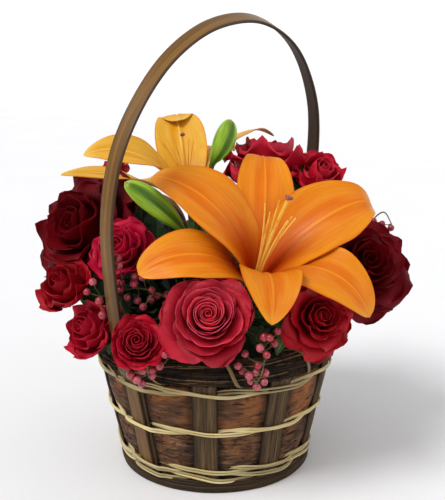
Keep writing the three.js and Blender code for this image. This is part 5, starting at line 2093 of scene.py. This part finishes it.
@dataclass
class Foliage:
    """Dark leaves on short sprigs that fill the gaps between the flowers."""
    sprigs: int = 96
    per_sprig: int = 5
    reach: float = 106.0
    edge: float = 116.0  # no leaf goes further from the axis
    low: float = 112.0  # or lower
    placed: tuple[tuple[Point, Point, float], ...] = (  # base, tip and width of the leaves that show
        ((-92, -20, 172), (-94, -36, 140), 20), ((-83, -24, 168), (-84, -40, 136), 20),
        ((-101, -18, 166), (-100, -34, 136), 18), ((-78, -30, 150), (-78, -46, 118), 20),
        ((-90, -26, 146), (-90, -44, 116), 18), ((-70, -34, 158), (-72, -48, 128), 20),
        ((66, 34, 214), (68, 18, 186), 20), ((82, 24, 206), (82, 8, 178), 20),
        ((71, 42, 236), (72, 26, 204), 20), ((-59, 12, 216), (-58, -6, 184), 22),
        ((-34, -4, 196), (-32, -20, 168), 20), ((-45, 4, 206), (-45, -14, 176), 22))

    def covers(self, point: Vector) -> bool:
        """Says whether a leaf here would lie in a bloom or in front of its face.

        Args:
            point: a point of the leaf.

        Returns:
            Whether it would.
        """
        for rose in ROSES:
            off = point - Vector(rose.centre)
            ahead = off.dot(Vector(rose.facing).normalized())
            beside = off.length_squared - ahead * ahead
            if off.length < 0.9 * rose.radius or (ahead > 0 and beside < (0.9 * rose.radius) ** 2):
                return True
        for lily in LILIES:
            off = point - Vector(lily.centre)
            if off.dot(Vector(lily.facing).normalized()) > -16 and off.length < 120:
                return True
        return False

    def build(self) -> None:
        """Builds the sprigs' stalks and their leaves."""
        rng = random.Random(21)
        stalks, blades = [], []
        for i in range(self.sprigs):
            degrees = math.degrees(i * GOLDEN)
            near, far = rng.uniform(18, 62), rng.uniform(70, self.reach)
            foot = around(degrees, near, 0)
            foot.z = foam_top(foot.x, foot.y) - 6
            end = around(degrees + rng.uniform(-14, 14), far, rng.uniform(122, 182))
            run = bezier([foot, foot.lerp(end, 0.25) + UP * 26, end], 12)
            kept = 2
            for number in range(self.per_sprig):
                at = 4 + 2 * number
                along = (run[at] - run[at - 1]).normalized()
                side = along.cross(UP).normalized() * (1 if number % 2 else -1)
                way = (along + side * rng.uniform(0.2, 0.9) + UP * rng.uniform(-0.3, 0.3)).normalized()
                tip = run[at] + way * rng.uniform(20, 31)
                if any(self.covers(run[at].lerp(tip, share)) for share in (0, 0.35, 0.7, 1)):
                    continue
                if math.hypot(tip.x, tip.y) > self.edge or tip.z < self.low:
                    continue
                kept = at
                blades.append(leaf(run[at], tip, rng.uniform(11, 16), rng.uniform(0, 3), rng.random(), 0,
                                   rng.uniform(0, 6), rng.uniform(0, 50), (6, 9)))
            if kept > 2:
                stalks.append(Strand(run[:kept + 1], [0.9] * (kept + 1)))
        for start, tip, width in self.placed:
            blades.append(leaf(Vector(start), Vector(tip), width, 3, rng.random(), 0, 4, rng.uniform(0, 50),
                               (6, 9)))
            base = Vector((0.6 * start[0], 0.6 * start[1], 0))
            base.z = foam_top(base.x, base.y) - 4
            stalks.append(Strand(bezier([base, base + UP * 24, Vector(start)], 8), [0.9] * 9))
        piece = strands("filler_stalks", stalks, 0)
        shade(piece)
        place(piece, Look.STEM)
        piece = join("filler_leaves", blades)
        thicken(piece, LEAF_THICK)
        shade(piece, 60)
        place(piece, Look.FILLER_LEAF)


# ---------- Studio ----------

@dataclass
class Studio:
    """The pale floor, soft lights and the camera at the photograph's angle."""
    camera_at: Point = (0.006, -0.6992, 0.3481)
    pitch: float = 75.89
    lens: float = 64.8

    def build(self) -> None:
        """Builds floor, lights and camera."""
        self.floor()
        self.camera()
        self.sun("key", (-0.62, -0.5, 1.0), 1.85, 24)
        self.light("fill", (1.3, -1.1, 0.9), 2, 1.2)
        world = bpy.data.worlds.new("studio")
        bpy.context.scene.world = world
        world.use_nodes = True
        background = world.node_tree.nodes["Background"]
        background.inputs[0].default_value = linear("#fbfbfc")
        background.inputs[1].default_value = 0.6

    def sun(self, name: str, where: Point, power: float, spread: float) -> None:
        """Builds an even light from one side.

        Args:
            name: its name.
            where: the side that it comes from.
            power: its strength in watts per square metre.
            spread: its width in degrees, which softens the shadows.
        """
        data = bpy.data.lights.new(name, "SUN")
        data.energy = power
        data.angle = math.radians(spread)
        lamp = bpy.data.objects.new(name, data)
        lamp.location = where
        lamp.rotation_euler = Vector(where).to_track_quat("Z", "Y").to_euler()
        bpy.context.scene.collection.objects.link(lamp)

    def camera(self) -> None:
        """Builds the camera."""
        data = bpy.data.cameras.new("camera")
        data.lens = self.lens
        data.sensor_width = 36
        data.clip_start = 0.05
        camera = bpy.data.objects.new("camera", data)
        camera.location = self.camera_at
        camera.rotation_euler = (math.radians(self.pitch), 0, 0)
        bpy.context.scene.collection.objects.link(camera)
        bpy.context.scene.camera = camera

    def light(self, name: str, where: Point, power: float, size: float) -> None:
        """Builds a soft light that shines at the flowers.

        Args:
            name: its name.
            where: its place in metres.
            power: its power in watts.
            size: its side in metres.
        """
        data = bpy.data.lights.new(name, "AREA")
        data.energy = power
        data.size = size
        lamp = bpy.data.objects.new(name, data)
        lamp.location = where
        lamp.rotation_euler = (Vector(where) - Vector((0, 0, 0.14))).to_track_quat("Z", "Y").to_euler()
        bpy.context.scene.collection.objects.link(lamp)

    def floor(self) -> None:
        """Builds the plain pale floor, which sweeps up into a low wall all round."""
        flat, sweep, rise = 5000.0, 2000.0, 1500.0

        def surface(x: float, t: float) -> Vector:
            """Finds a point on the floor, from its middle to the top of its wall.

            Args:
                x: across it, from -1 to 1.
                t: along it, from 0 to 1.

            Returns:
                The point.
            """
            reach = t * (flat + 0.5 * math.pi * sweep + rise)
            bend = min(0.5 * math.pi, max(0.0, (reach - flat) / sweep))
            radius = min(reach, flat) + sweep * math.sin(bend)
            height = sweep * (1 - math.cos(bend)) + max(0.0, reach - flat - 0.5 * math.pi * sweep)
            return Vector((radius * math.cos(math.pi * x), radius * math.sin(math.pi * x), height))

        floor = sheet(64, 80, surface)
        floor.name = "floor"
        weld(floor, turn=False)
        shade(floor)
        material = bpy.data.materials.new("matt_white_floor")
        material.use_nodes = True
        material.node_tree.nodes.clear()
        paint = Painter(material.node_tree)
        cloud = paint.grain(paint.node("TexCoord", out="Object"), (6, 6, 6), 2.0)
        colour = paint.node("Mix", {0: cloud, 6: linear("#f2f2f3"), 7: linear("#f7f7f8")}, 2, **RGBA)
        shader = paint.node("BsdfPrincipled", {"Base Color": colour, "Roughness": 0.8, "IOR": 1.2})
        paint.node("OutputMaterial", {"Surface": shader})
        floor.data.materials.append(material)


def main() -> None:
    """Builds the arrangement and reports each piece."""
    logging.basicConfig(level=logging.INFO, format="%(message)s")
    bpy.context.scene.view_settings.view_transform = "Standard"
    Studio().build()
    Basket().build()
    Handle().build()
    for rose in ROSES:
        rose.bloom()
        rose.green()
    for lily in LILIES:
        lily.flower()
        lily.stamens()
        lily.green()
    for spray in SPRAYS:
        spray.build()
    Foliage().build()


if __name__ == "__main__":
    main()
